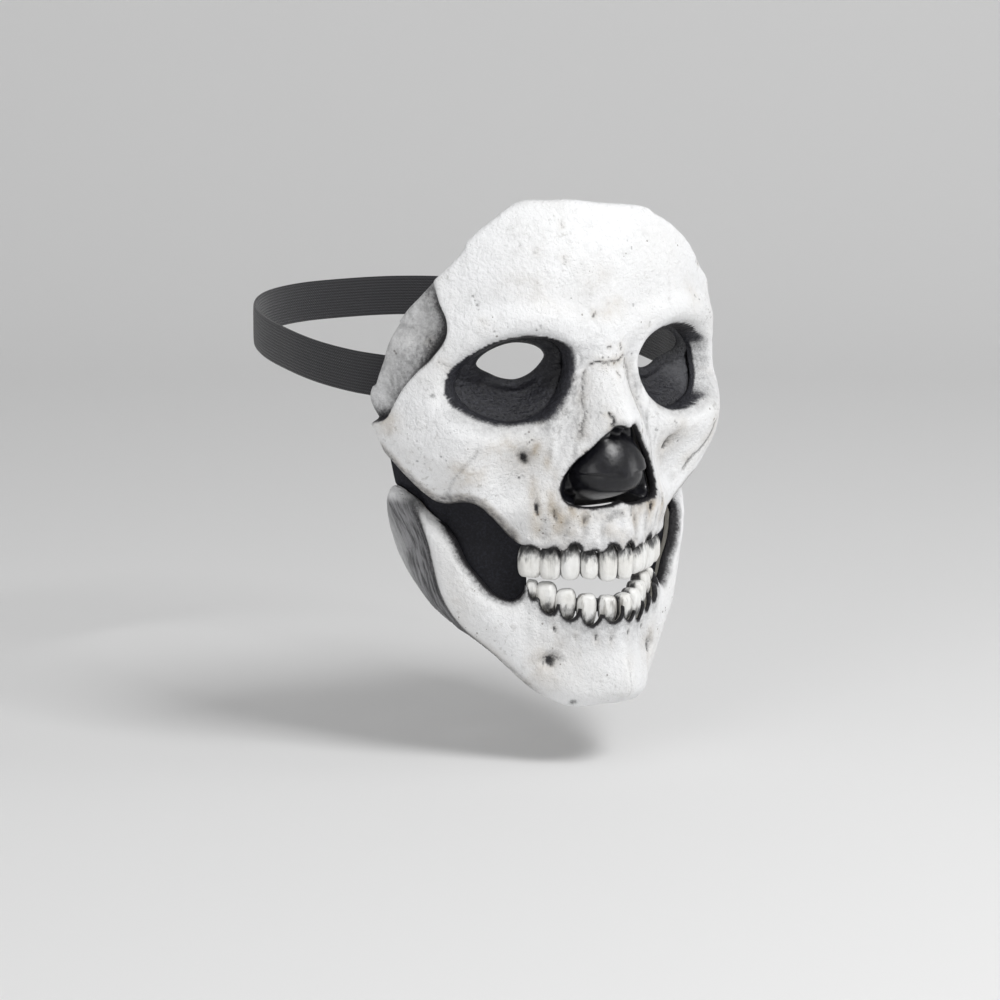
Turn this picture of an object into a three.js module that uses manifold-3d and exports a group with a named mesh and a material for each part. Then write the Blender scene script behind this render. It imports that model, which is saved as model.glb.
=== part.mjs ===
import * as THREE from 'three';
import Module from 'manifold-3d';

// Skull mask, millimetres. +Z up, the face looks toward -Y, +X is the wearer's left.
// The origin is inside the nose bridge, on the middle line, where the mask rests on the face.

// ---------------------------------------------------------------- driving dimensions
const AXIS_Y = 57;          // upright axis that the whole form is measured round
const MM_PER_DEG = 1.15;    // surface length for each degree round that axis
const WALL = 2.5;           // moulded shell
const SKIN = 1.5;           // thin dark pieces behind the shells
const GAP = 0.35;           // clearance between neighbouring pieces
const RIM_SOLID = 2.0;      // width of the thick rim round every cut edge
const ORBIT_ROLL = { width: 5.5, depth: 5.5, inset: 2 };  // inset: the hole is this much smaller than the painted outline
const NOSE_ROLL = { width: 2.2, depth: 1.2 };
const OVERLAP = 5;          // how far a thin piece reaches behind a shell
const TOOTH_HALF_DEPTH = 3.4;
const BAR_DEPTH = 2.6;
const EYE = { deg: 35.5, z: 2.2, halfWidth: 15.5, halfHeight: 7.6, tilt: 4 };
const SOCKET_DEPTH = 7.5;
const SCOOP = { z: -38.5, rise: 16, halfWidth: 17, up: 20, down: 12.5, lip: -52.4, tuck: 8 };  // tuck: how far the underside goes in below the tip
const STRAP = { width: 16, thick: 1.5, steps: 44 };
const CELL = { skull: 6.0, jaw: 6.2, thin: 7.0 };

const table = (names, rows) => rows.map(r => Object.fromEntries(names.split(' ').map((n, i) => [n, r[i]])));

// levels of the plain form: front is the y of the midline, half the half width, square the superellipse power
const FORM = table('z front half square', [
  [-135, -6, 60, 1.20], [-120, -10, 64, 1.20], [-100, -10, 66, 1.30], [-80, -10, 68, 1.50],
  [-60, -8, 70, 1.75], [-40, -3, 74, 1.95], [-20, 0, 76, 2.10], [0, 0, 76, 2.15],
  [20, -2, 75, 2.12], [40, -1, 70.5, 2.10], [60, 5, 65, 2.10], [75, 12, 60, 2.10]]);

// outline corners, degrees round the axis and level
const CROWN_EDGE = table('deg z', [
  [-76.3, -28], [-76.8, -23.5], [-80, -19.5], [-83, -12.5], [-81, -5], [-78.5, 1], [-73.5, 15], [-68.6, 23], [-60, 32.5],
  [-51.7, 42.9], [-50, 47.2], [-42.4, 54.5], [-33.5, 60.6], [-23, 61], [-12.5, 60.8], [0, 59.2], [19, 57], [24.5, 54],
  [32, 49.5], [42, 41], [50.5, 31.8], [60, 25.5], [69, 19], [74, 12], [79, 0], [81.5, -6], [83, -12.5], [80, -19.5], [76.8, -23.5], [76.3, -28]]);
const CHEEK_EDGE = table('deg z', [
  [75.5, -31], [73, -34.5], [68.7, -41.8], [63.9, -48.4], [59.3, -50.4], [51.9, -49.4], [47.2, -50.9], [42.9, -56],
  [38, -61.8], [33.6, -65]]);
const UPPER_GUM = table('deg z', [[30, -65.6], [15, -66.8], [0, -67.2]]);
const ORBIT = table('deg z', [
  [56.6, -6], [55, 0.5], [50.3, 5.5], [45.5, 9], [39.8, 12], [31.3, 13.7], [22.5, 12.5], [16.5, 8.2],
  [14.2, 0.5], [16.4, -8.5], [21.8, -15.8], [28.9, -20], [36.7, -21.2], [44.1, -19.4], [51, -15.6], [55.2, -11]]);
const NOSE_HOLE = table('deg z', [
  [0, -21.5], [2.6, -20.4], [5.6, -23.4], [9.8, -29], [14.5, -34], [18, -39.5], [19.3, -44.5], [17.6, -48.8],
  [12, -50.8], [6, -51.0], [2.4, -50.2], [0, -49.2]]);
const JAW_EDGE = table('deg z', [
  [0, -88], [15, -88], [26, -85.6], [30.5, -81], [31.1, -83], [33.6, -85.6], [37, -86.6], [43, -84.2], [48.5, -78.5],
  [53, -72.5], [57, -64], [60.5, -60], [64.5, -57], [67.8, -53.8], [71.3, -50.6], [74.4, -47.6], [77, -45], [80,
  -48.6], [81.8, -55], [82, -62.5], [79.9, -71.2], [75.4, -81], [68, -92.3], [56.6, -101], [42, -109.8], [28.2,
  -120.6], [17.8, -125.6], [11.5, -126.6], [0, -124.8]]);
const TEMPLE_LINE = table('deg z', [
  [59.8, 34], [57.5, 25], [55, 18.4], [55, 12], [59.4, 4.5], [64, -0.8], [68, -6.5], [70.8, -12.5], [73, -18], [77,
  -20.3], [84, -21.5]]);
const JAW_CREASE = table('deg z', [
  [70.6, -47.5], [69.4, -52.5], [67.6, -59], [65.6, -66.5], [64.4, -75], [63, -83.5], [60, -91], [54.4, -98.5], [45,
  -105], [38, -110.5]]);

// raised and sunk places on both sides: rise in mm, spread along and across, turned by the angle
const LUMPS = table('deg z along across rise turn', [
  [0, 11, 9, 7, 1.6, 0], [27, 42, 17, 13, 1.3, 0], [13, 27, 12, 7, -1, 0], [42, 28, 9, 7, -1, 0],
  [55, -27, 17, 11, 4.6, -12], [72, -25, 12, 7, 0.8, 0], [50, -40, 8, 9, 2, -35], [9.5, 2, 3.6, 9, -2, 10],
  [31, -38, 8.5, 8, -5.6, 25], [37, -50, 7, 9, -3.6, 0], [7.5, -58, 5, 6, -0.6, 0], [0, -50, 3.2, 3.4, 1.4, 0],
  [16.8, -56, 3.4, 9, 1.3, 0], [0, -100, 20, 6, -2.6, 0], [12, -98, 7, 5, -0.8, 0], [0, -116, 10, 7, 2.6, 0],
  [13, -120.5, 6, 4.5, 2, 0], [0, -124.5, 4, 3, -0.8, 0], [57, -50, 12, 11, -4.2, 0]]);
// ridges: where they run, how wide, and the rise at each corner
const BROW = { wide: 4.6, at: table('deg z rise', [[9, 13, 1], [20, 19, 2.6], [33, 20, 3], [46, 16, 3], [56, 9, 2], [61, 2, 0.5]]) };
const LOWER_RIM = { wide: 4, at: table('deg z rise', [[17, -17, 0.6], [27, -24, 1.4], [38, -26, 1.8], [50, -22, 1.8], [58, -14, 1.2]]) };
const JAW_BODY = { wide: 6.5, at: table('deg z rise', [[24, -112, 1], [36, -100, 2], [46, -90, 2.4], [52, -80, 2], [56, -66, 0.8]]) };
const BRIDGE = table('z rise half', [
  [-52, 1.5, 24], [-49, 3, 24.3], [-40, 7.5, 25], [-30, 11.2, 22], [-22, 13.8, 18.3], [-18, 14.2, 16.5],
  [-10, 8, 12.9], [0, 1.2, 9.5], [6, 0.3, 8.8], [12, 0, 8]]);
const ARCH = table('deg sunk', [[0, 0.6], [9, 1.9], [15, 3.6], [22, 4.6], [30, 5.2], [38, 5], [48, 3.8], [60, 1.5], [75, 0]]);
const ARCH_SHARE = table('z share', [[-98, 0], [-86, 0.5], [-76, 1], [-62, 1], [-49, 0]]);
const TEMPLE_SUNK = table('along sunk', [[0, 1.5], [0.1, 3.5], [0.25, 5.5], [0.55, 5.5], [0.8, 7.5], [0.93, 6], [1, 3.5]]);

// middle of the elastic band on one side, from the inside of the temple to the back
const STRAP_PATH = table('x y z', [
  [57.4, 28, -5], [60.9, 37, -5], [64.2, 48, -5], [69.4, 64, -4.4], [72.6, 84, -3], [72.8, 105, -1], [69, 130, 1],
  [60, 153, 3], [44, 172, 4.4], [23, 183.5, 5], [0, 187, 5]]);

// crowns of one side: place, width, level of root and edge, how far the front lies behind the plain form
const UPPER = table('deg wide root edge behind', [
  [3.05, 7.4, -64.2, -79.0, 1.4], [8.9, 6.9, -66.4, -78.0, 2.5], [14.85, 7.6, -63.7, -78.3, 3.9], [21.55, 8.4, -65.4, -78.4, 5.1], [29.1, 9.2, -65.0, -77.8, 6.0]]);
const LOWER = table('deg wide root edge behind', [
  [2.95, 7.0, -94.4, -84.4, 1.6], [9.3, 7.5, -95.6, -83.8, 2.5], [15.9, 7.9, -93.6, -82.3, 4.0], [22.6, 8.1, -91.3, -79.9, 5.2], [28.0, 4.4, -86.0, -79.2, 6.0]]);

// ---------------------------------------------------------------- helpers
const wasm = await Module();
wasm.setup();
const { Manifold, Mesh } = wasm;
const rad = THREE.MathUtils.degToRad;
const clamp = THREE.MathUtils.clamp;
const smooth = x => { x = clamp(x, 0, 1); return x * x * (3 - 2 * x); };
function lookup(rows, key, value, x) {
  const up = rows[rows.length - 1][key] > rows[0][key];
  const list = up ? rows : [...rows].reverse();
  if (x <= list[0][key]) return list[0][value];
  for (let i = 1; i < list.length; i++) if (x <= list[i][key]) {
    const a = list[i - 1], b = list[i];
    return a[value] + (b[value] - a[value]) * (x - a[key]) / (b[key] - a[key]);
  }
  return list[list.length - 1][value];
}
function level(z) {
  z = clamp(z, FORM[0].z, FORM[FORM.length - 1].z);
  let i = 0;
  while (i < FORM.length - 2 && z > FORM[i + 1].z) i++;
  const a = FORM[Math.max(i - 1, 0)], b = FORM[i], c = FORM[i + 1], d = FORM[Math.min(i + 2, FORM.length - 1)];
  const h = c.z - b.z, s = (z - b.z) / h, out = {};
  for (const k of ['front', 'half', 'square']) {
    const m0 = (c[k] - a[k]) / (c.z - a.z) * h, m1 = (d[k] - b[k]) / (d.z - b.z) * h;
    out[k] = (2 * s ** 3 - 3 * s * s + 1) * b[k] + (s ** 3 - 2 * s * s + s) * m0 + (3 * s * s - 2 * s ** 3) * c[k] + (s ** 3 - s * s) * m1;
  }
  return out;
}
// radius of the plain form at surface place u (mm round) and level z
function formRadius(u, z) {
  const { front, half, square } = level(z), t = rad(u / MM_PER_DEG);
  const s = Math.abs(Math.sin(t)) / half, c = Math.max(Math.cos(t), 1e-6) / (AXIS_Y + 3 - front);
  return (s ** square + c ** square) ** (-1 / square);
}
const place = (u, z, r) => { const t = rad(u / MM_PER_DEG); return [r * Math.sin(t), AXIS_Y - r * Math.cos(t), z]; };

// smooth curve through table rows, in mm
function curve(rows, closed, per = 5) {
  const pts = rows.map(r => new THREE.Vector3(r.deg * MM_PER_DEG, r.z, 0));
  const c = new THREE.CatmullRomCurve3(pts, closed, 'catmullrom', 0.5);
  const n = closed ? rows.length * per : (rows.length - 1) * per, out = [];
  for (let i = 0; i < (closed ? n : n + 1); i++) { const p = c.getPoint(i / n); out.push([p.x, p.y]); }
  const line = { pts: closed ? [...out, out[0]] : out, closed, cum: [0] };
  for (let i = 1; i < line.pts.length; i++) line.cum.push(line.cum[i - 1] + Math.hypot(line.pts[i][0] - line.pts[i - 1][0], line.pts[i][1] - line.pts[i - 1][1]));
  return line;
}
// distance to a curve, place along it (0 to 1) and side
function measure(line, u, z) {
  let best = 1e18, frac = 0, side = 1, inside = false;
  const q = line.pts, total = line.cum[q.length - 1];
  for (let i = 0; i < q.length - 1; i++) {
    const a = q[i], b = q[i + 1], ex = b[0] - a[0], ez = b[1] - a[1], l2 = ex * ex + ez * ez;
    if (l2 < 1e-12) continue;
    const wx = u - a[0], wz = z - a[1], t = clamp((wx * ex + wz * ez) / l2, 0, 1);
    const d = (wx - t * ex) ** 2 + (wz - t * ez) ** 2;
    if (d < best) { best = d; frac = (line.cum[i] + t * (line.cum[i + 1] - line.cum[i])) / total; side = Math.sign(ex * wz - ez * wx) || 1; }
    if (line.closed && (a[1] > z) !== (b[1] > z) && u < (b[0] - a[0]) * (z - a[1]) / (b[1] - a[1]) + a[0]) inside = !inside;
  }
  return { d: Math.sqrt(best), frac, side: line.closed ? (inside ? 1 : -1) : side };
}
const within = (line, u, z) => { const m = measure(line, u, z); return m.d * m.side; };
const mirrored = rows => [...rows].reverse().map(r => ({ ...r, deg: -r.deg }));
const bothSides = rows => [...rows, ...mirrored(rows.filter(r => Math.abs(r.deg) > 1e-6))];

const skullLine = curve([...CROWN_EDGE, ...CHEEK_EDGE, ...UPPER_GUM, ...mirrored(UPPER_GUM.slice(0, -1)), ...mirrored(CHEEK_EDGE)], true);
const orbitLine = curve(ORBIT, true);
const noseLine = curve(bothSides(NOSE_HOLE), true);
const jawLine = curve(bothSides(JAW_EDGE), true);
const templeLine = curve(TEMPLE_LINE, false);
const creaseLine = curve(JAW_CREASE, false);

function lump(u, z, l) {
  const c = Math.cos(rad(l.turn)), s = Math.sin(rad(l.turn)), du = u - l.deg * MM_PER_DEG, dz = z - l.z;
  return l.rise * Math.exp(-0.5 * (((du * c + dz * s) / l.along) ** 2 + ((-du * s + dz * c) / l.across) ** 2));
}
const ridgeLines = [BROW, LOWER_RIM, JAW_BODY].map(r => ({ ...r, line: curve(r.at, false), rise: r.at.map((p, i) => ({ t: i / (r.at.length - 1), rise: p.rise })) }));
// how far the bone stands out from the plain form
function relief(uIn, z) {
  const u = Math.abs(uIn);
  let d = 0;
  for (const l of LUMPS) d += lump(u, z, l);
  for (const r of ridgeLines) { const m = measure(r.line, u, z); d += lookup(r.rise, 't', 'rise', m.frac) * Math.exp(-0.5 * (m.d / r.wide) ** 2); }
  const q = clamp(u / lookup(BRIDGE, 'z', 'half', z), 0, 1);
  d += lookup(BRIDGE, 'z', 'rise', z) * (1 - q ** 1.5) ** 1.3;
  for (const t of UPPER) d += lump(u, z, { deg: t.deg, z: -60, along: t.wide * 0.3, across: 5.5, rise: 1.1, turn: 0 });
  for (const t of LOWER) d += lump(u, z, { deg: t.deg, z: -97, along: t.wide * 0.3, across: 4.6, rise: 0.8, turn: 0 });
  d -= lookup(ARCH, 'deg', 'sunk', u / MM_PER_DEG) * smooth(lookup(ARCH_SHARE, 'z', 'share', z));
  const c = measure(creaseLine, u, z), back = c.side * c.d, fade = c.frac < 0.15 ? 0.6 + 2.7 * c.frac : c.frac < 0.75 ? 1 : (1 - c.frac) * 4;
  d -= smooth((-44 - z) / 3) * fade * (3 * smooth((back + 1.5) / 5) + 1.6 * Math.exp(-0.5 * ((back - 1.2) / 1.8) ** 2));
  const t = measure(templeLine, u, z), behind = t.side * t.d, upper = smooth((z + 24) / 3);
  d -= upper * lookup(TEMPLE_SUNK, 'along', 'sunk', t.frac) * smooth((behind + 0.7) / 2.6) * (1 - 0.25 * smooth((behind - 2.5) / 13));
  d -= upper * smooth((z - 6) / 14) * smooth((behind - 1) / 10) * 2.4;
  return d;
}
// quarter round from a cut edge: phi is the distance in from the edge
const quarter = (phi, width, depth) => { const s = clamp(phi / width, 0, 1); return depth * (1 - Math.sqrt(Math.max(0, 1 - (1 - s) ** 2))); };
const skullInside = (u, z) => within(skullLine, u, z);
const orbitInside = (u, z) => within(orbitLine, Math.abs(u), z) - ORBIT_ROLL.inset;
const noseInside = (u, z) => within(noseLine, u, z);
const jawInside = (u, z) => within(jawLine, u, z);
// how far the rims turn in; inset moves the turn away from the edge
function skullRoll(u, z, inset = 0) {
  const a = Math.abs(u), low = smooth((-24 - z) / 5) * smooth((a - 32) / 6);
  return quarter(-orbitInside(u, z) - inset, ORBIT_ROLL.width, ORBIT_ROLL.depth)
    + quarter(-noseInside(u, z) - inset, NOSE_ROLL.width, NOSE_ROLL.depth)
    + quarter(skullInside(u, z) - inset, 2 + 3 * low, 0.8 + 3.2 * low);
}
function jawRoll(u, z, inset = 0) {
  const a = Math.abs(u), gum = (1 - smooth((a - 31) / 5)) * smooth((z + 100) / 8);
  const rear = Math.max(smooth((a - 66) / 6), smooth((-98 - z) / 8));
  return quarter(jawInside(u, z) - inset, 4.5 + 1.5 * rear, (2.6 + 1.9 * rear) * (1 - gum) + 0.6 * gum);
}

// ---------------------------------------------------------------- trimmed grids and shells
function trimmed({ u0, u1, z0, z1, cell, phi }) {
  const nu = Math.ceil((u1 - u0) / cell), nz = Math.ceil((z1 - z0) / cell), V = [], f = [];
  for (let i = 0; i <= nu; i++) for (let j = 0; j <= nz; j++) V.push([u0 + (u1 - u0) * i / nu, z0 + (z1 - z0) * j / nz]);
  const e = cell * 0.05;
  for (const v of V) {
    let p = phi(...v);
    if (Math.abs(p) < cell * 0.45) {
      let w = [...v];
      for (let k = 0; k < 3; k++) {
        const g0 = phi(...w), gx = (phi(w[0] + e, w[1]) - phi(w[0] - e, w[1])) / (2 * e), gz = (phi(w[0], w[1] + e) - phi(w[0], w[1] - e)) / (2 * e);
        const g2 = gx * gx + gz * gz + 1e-9;
        w = [w[0] - g0 * gx / g2, w[1] - g0 * gz / g2];
      }
      if (Math.hypot(w[0] - v[0], w[1] - v[1]) < cell * 0.45 && Math.abs(phi(...w)) < cell * 0.04) { v[0] = w[0]; v[1] = w[1]; p = 0; }
    }
    f.push(p);
  }
  const at = (i, j) => i * (nz + 1) + j, T = [], cuts = new Map();
  const cut = (i, j) => {
    const k = Math.min(i, j) + '_' + Math.max(i, j);
    if (!cuts.has(k)) { const t = f[i] / (f[i] - f[j]); cuts.set(k, V.length); V.push([V[i][0] * (1 - t) + V[j][0] * t, V[i][1] * (1 - t) + V[j][1] * t]); }
    return cuts.get(k);
  };
  const add = t => {
    const s = t.map(i => f[i]);
    if (s.every(x => x >= 0)) {
      if (s.some(x => x > 0)) T.push(t);
      else if (phi((V[t[0]][0] + V[t[1]][0] + V[t[2]][0]) / 3, (V[t[0]][1] + V[t[1]][1] + V[t[2]][1]) / 3) > 0) T.push(t);
      return;
    }
    if (!s.some(x => x > 0)) return;
    const poly = [];
    for (let k = 0; k < 3; k++) { const i = t[k], j = t[(k + 1) % 3]; if (f[i] >= 0) poly.push(i); if (f[i] * f[j] < 0) poly.push(cut(i, j)); }
    for (let k = 1; k < poly.length - 1; k++) T.push([poly[0], poly[k], poly[k + 1]]);
  };
  for (let i = 0; i < nu; i++) for (let j = 0; j < nz; j++) {
    const a = at(i, j), b = at(i + 1, j), c = at(i + 1, j + 1), d = at(i, j + 1);
    if ((i + j) % 2) { add([a, b, d]); add([b, c, d]); } else { add([a, b, c]); add([a, c, d]); }
  }
  return { V, T };
}
function solid(points, tris) {
  const m = new Manifold(new Mesh({ numProp: 3, vertProperties: new Float32Array(points.flat()), triVerts: new Uint32Array(tris.flat()) }));
  return m;
}
// closed solid between an outer and an inner map of a trimmed grid
function walled(grid, outer, inner) {
  const used = new Map(), keep = [];
  for (const t of grid.T) for (const i of t) if (!used.has(i)) { used.set(i, keep.length); keep.push(grid.V[i]); }
  const T = grid.T.map(t => t.map(i => used.get(i))), n = keep.length, P = [...keep.map(v => outer(...v)), ...keep.map(v => inner(...v))];
  const edges = new Map();
  for (const t of T) for (let k = 0; k < 3; k++) edges.set(t[k] + '_' + t[(k + 1) % 3], [t[k], t[(k + 1) % 3]]);
  const F = [];
  for (const t of T) { F.push(t); F.push([t[0] + n, t[2] + n, t[1] + n]); }
  for (const [a, b] of edges.values()) if (!edges.has(b + '_' + a)) { F.push([b, a, a + n]); F.push([b, a + n, b + n]); }
  let vol = 0;
  for (const [a, b, c] of F) vol += new THREE.Vector3(...P[a]).dot(new THREE.Vector3(...P[b]).cross(new THREE.Vector3(...P[c])));
  return solid(P, vol < 0 ? F.map(([a, b, c]) => [a, c, b]) : F);
}
function toMesh(name, man, look) {
  const m = man.getMesh(), pos = new Float32Array(m.numVert * 3);
  for (let i = 0; i < m.numVert; i++) for (let k = 0; k < 3; k++) pos[3 * i + k] = m.vertProperties[i * m.numProp + k];
  const g = new THREE.BufferGeometry();
  g.setAttribute('position', new THREE.BufferAttribute(pos, 3));
  g.setIndex([...m.triVerts]);
  g.computeVertexNormals();
  const mesh = new THREE.Mesh(g, new THREE.MeshStandardMaterial(look));
  mesh.name = name;
  return mesh;
}
const surface = depth => (u, z) => place(u, z, formRadius(u, z) + depth(u, z));

// ---------------------------------------------------------------- crowns
const sgnPow = (x, p) => Math.sign(x) * Math.abs(x) ** p;
// rounded crown, arched toward the root and squarer toward the edge
function crown(t, side, grow = 0) {
  const u = side * t.deg * MM_PER_DEG, zm = (t.root + t.edge) / 2, hh = Math.abs(t.root - t.edge) / 2 + grow, hw = t.wide / 2 - 0.1 + grow, hd = TOOTH_HALF_DEPTH + grow;
  const r = formRadius(u, zm) - t.behind - TOOTH_HALF_DEPTH, o = place(u, zm, r), a = place(u + 1, zm, formRadius(u + 1, zm)), b = place(u - 1, zm, formRadius(u - 1, zm));
  const ang = Math.atan2(a[1] - b[1], a[0] - b[0]), cx = Math.cos(ang), cy = Math.sin(ang), LON = 8, LAT = 6, P = [], F = [];
  for (let j = 1; j < LAT; j++) for (let i = 0; i < LON; i++) {
    const la = -Math.PI / 2 + Math.PI * j / LAT, lo = 2 * Math.PI * i / LON;
    const atRoot = (la > 0) === (t.root > t.edge), girth = Math.cos(la) ** (atRoot ? 0.95 : 0.6);
    const s = hw * girth * sgnPow(Math.cos(lo), 0.8), n = hd * girth * sgnPow(Math.sin(lo), 0.8), h = hh * sgnPow(Math.sin(la), atRoot ? 1 : 0.8);
    P.push([o[0] + s * cx - n * cy, o[1] + s * cy + n * cx, zm + h]);
  }
  const low = P.length, top = low + 1;
  P.push([o[0], o[1], zm - hh], [o[0], o[1], zm + hh]);
  for (let i = 0; i < LON; i++) {
    const k = (i + 1) % LON;
    F.push([low, k, i], [top, (LAT - 2) * LON + i, (LAT - 2) * LON + k]);
    for (let j = 0; j < LAT - 2; j++) { const p = j * LON; F.push([p + i, p + k, p + LON + k], [p + i, p + LON + k, p + LON + i]); }
  }
  return solid(P, F);
}
function crowns(rows, grow = 0) {
  const list = [];
  for (const t of rows) { list.push(crown(t, 1, grow)); if (t.deg > 0.01) list.push(crown(t, -1, grow)); }
  return Manifold.union(list);
}
// bar behind the crowns that holds a row together
function bar(rows, zTop, zLow) {
  const ends = rows[rows.length - 1].deg + 1.2, N = 16, P = [], F = [];
  for (let i = 0; i <= N; i++) {
    const deg = -ends + 2 * ends * i / N, u = deg * MM_PER_DEG, behind = lookup(rows, 'deg', 'behind', Math.abs(deg));
    for (const z of [zLow, zTop]) for (const d of [TOOTH_HALF_DEPTH + 0.6, TOOTH_HALF_DEPTH + 0.6 + BAR_DEPTH]) P.push(place(u, z, formRadius(u, z) - behind - d));
  }
  const ring = [0, 1, 3, 2];
  for (let i = 0; i < N; i++) for (let k = 0; k < 4; k++) {
    const a = 4 * i + ring[k], b = 4 * i + ring[(k + 1) % 4];
    F.push([a, b, b + 4], [a, b + 4, a + 4]);
  }
  F.push([0, 2, 3], [0, 3, 1]);
  const e = 4 * N;
  F.push([e, e + 1, e + 3], [e, e + 3, e + 2]);
  let vol = 0;
  for (const [a, b, c] of F) vol += new THREE.Vector3(...P[a]).dot(new THREE.Vector3(...P[b]).cross(new THREE.Vector3(...P[c])));
  return solid(P, vol < 0 ? F.map(([a, b, c]) => [a, c, b]) : F);
}

// a piece cut back so that it keeps its clearance from its neighbours; small offcuts are dropped
function clear(piece, ...others) {
  for (const o of others) {
    const swept = Manifold.union([[1, 0, 0], [-1, 0, 0], [0, 1, 0], [0, -1, 0], [0, 0, 1], [0, 0, -1]].map(d => o.translate(d.map(x => x * GAP))));
    piece = Manifold.difference(piece, swept);
  }
  return piece.decompose().reduce((a, b) => (b.volume() > a.volume() ? b : a));
}

// ---------------------------------------------------------------- the pieces
const skullPhi = (u, z) => Math.min(skullInside(u, z), -orbitInside(u, z), -noseInside(u, z));
const skullShell = Manifold.difference(
  walled(trimmed({ u0: -99, u1: 99, z0: -71, z1: 65, cell: CELL.skull, phi: skullPhi }),
    surface((u, z) => relief(u, z) - skullRoll(u, z)),
    surface((u, z) => relief(u, z) - skullRoll(u, z, RIM_SOLID) - WALL)), crowns(UPPER, GAP + 0.15));
const jawShell = Manifold.difference(
  walled(trimmed({ u0: -99, u1: 99, z0: -130, z1: -40, cell: CELL.jaw, phi: jawInside }),
    surface((u, z) => relief(u, z) - jawRoll(u, z)),
    surface((u, z) => relief(u, z) - jawRoll(u, z, RIM_SOLID) - WALL)), crowns(LOWER, GAP + 0.15));
const upperTeeth = Manifold.union(crowns(UPPER), clear(bar(UPPER, -68.6, -74.4), skullShell));
const lowerTeeth = Manifold.union(crowns(LOWER), clear(bar(LOWER, -85.8, -90.8), jawShell));

// depth of the hidden face of both shells, with clearance, for whatever lies behind them
const behindShells = (u, z) => relief(u, z) - Math.max(skullRoll(u, z, RIM_SOLID + 1), jawRoll(u, z, RIM_SOLID + 1)) - WALL - 1.6;
const cheekPhi = side => (u, z) => {
  const s = side * u;
  if (s < 27 * MM_PER_DEG) return s - 27 * MM_PER_DEG;
  const gap = Math.min(-skullInside(u, z), -jawInside(u, z));
  const aboveJaw = 0.7 * (z + 50 + 0.89 * (80 * MM_PER_DEG - s));
  return Math.min(gap + OVERLAP, s - 30.5 * MM_PER_DEG, 78 * MM_PER_DEG - s, aboveJaw, -32 - z);
};
function cheek(side) {
  const depth = (u, z) => behindShells(u, z);
  return walled(trimmed({ u0: side > 0 ? 31 : -94, u1: side > 0 ? 94 : -31, z0: -94, z1: -30, cell: CELL.thin, phi: cheekPhi(side) }),
    surface(depth), surface((u, z) => depth(u, z) - SKIN));
}
// almond eye opening: distance outside it
function eyeOutside(u, z, side) {
  const c = Math.cos(rad(EYE.tilt)), s = Math.sin(rad(EYE.tilt)), du = side * u - EYE.deg * MM_PER_DEG, dz = z - EYE.z;
  const a = (du * c - dz * s) / EYE.halfWidth, b = (du * s + dz * c) / EYE.halfHeight;
  return ((Math.abs(a) ** 1.7 + Math.abs(b) ** 1.7) ** (1 / 1.7) - 1) * EYE.halfHeight;
}
function eyeSurround(side) {
  const depth = (u, z) => relief(u, z) - skullRoll(u, z, RIM_SOLID + 1) - WALL - 1.6 - SOCKET_DEPTH * smooth((orbitInside(u, z) + 0.5) / 10);
  const phi = (u, z) => Math.min(orbitInside(u, z) + OVERLAP, eyeOutside(u, z, side), side * u - 9.5, skullInside(u, z) - 2);
  return walled(trimmed({ u0: side > 0 ? 6 : -76, u1: side > 0 ? 76 : -6, z0: -30, z1: 24, cell: 5.2, phi }),
    surface(depth), surface((u, z) => depth(u, z) - SKIN));
}
// plain rounded scoop that fills the nose opening; below its tip it turns in, and stays free of the shell
function noseCover() {
  const rise = (u, z) => {
    const q = Math.hypot(u / SCOOP.halfWidth, (z - SCOOP.z) / (z > SCOOP.z ? SCOOP.up : SCOOP.down));
    return SCOOP.rise * Math.max(0, 1 - Math.min(q, 1) ** 2) ** (z > SCOOP.z ? 0.5 : 0.8);
  };
  const depth = (u, z) => {
    const base = relief(u, z) - skullRoll(u, z, RIM_SOLID + 1) - WALL - 1.2, free = smooth((-44 - z) / 5) * (1 - smooth((Math.abs(u) - 12) / 5));
    const q = Math.max(smooth((noseInside(u, z) - 0.2) / 3.5), free);
    return base * (1 - q) + (-6.5 + rise(u, z) - SCOOP.tuck * smooth((-44 - z) / 8)) * q;
  };
  const phi = (u, z) => Math.min(noseInside(u, z) + 4, z - SCOOP.lip + Math.max(0, Math.abs(u) - 12) * 0.6);
  const skin = z => SKIN + 2 * smooth((-43 - z) / 4);
  return walled(trimmed({ u0: -28, u1: 28, z0: -56, z1: -14, cell: 3.0, phi }), surface(depth), surface((u, z) => depth(u, z) - skin(z)));
}
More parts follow.
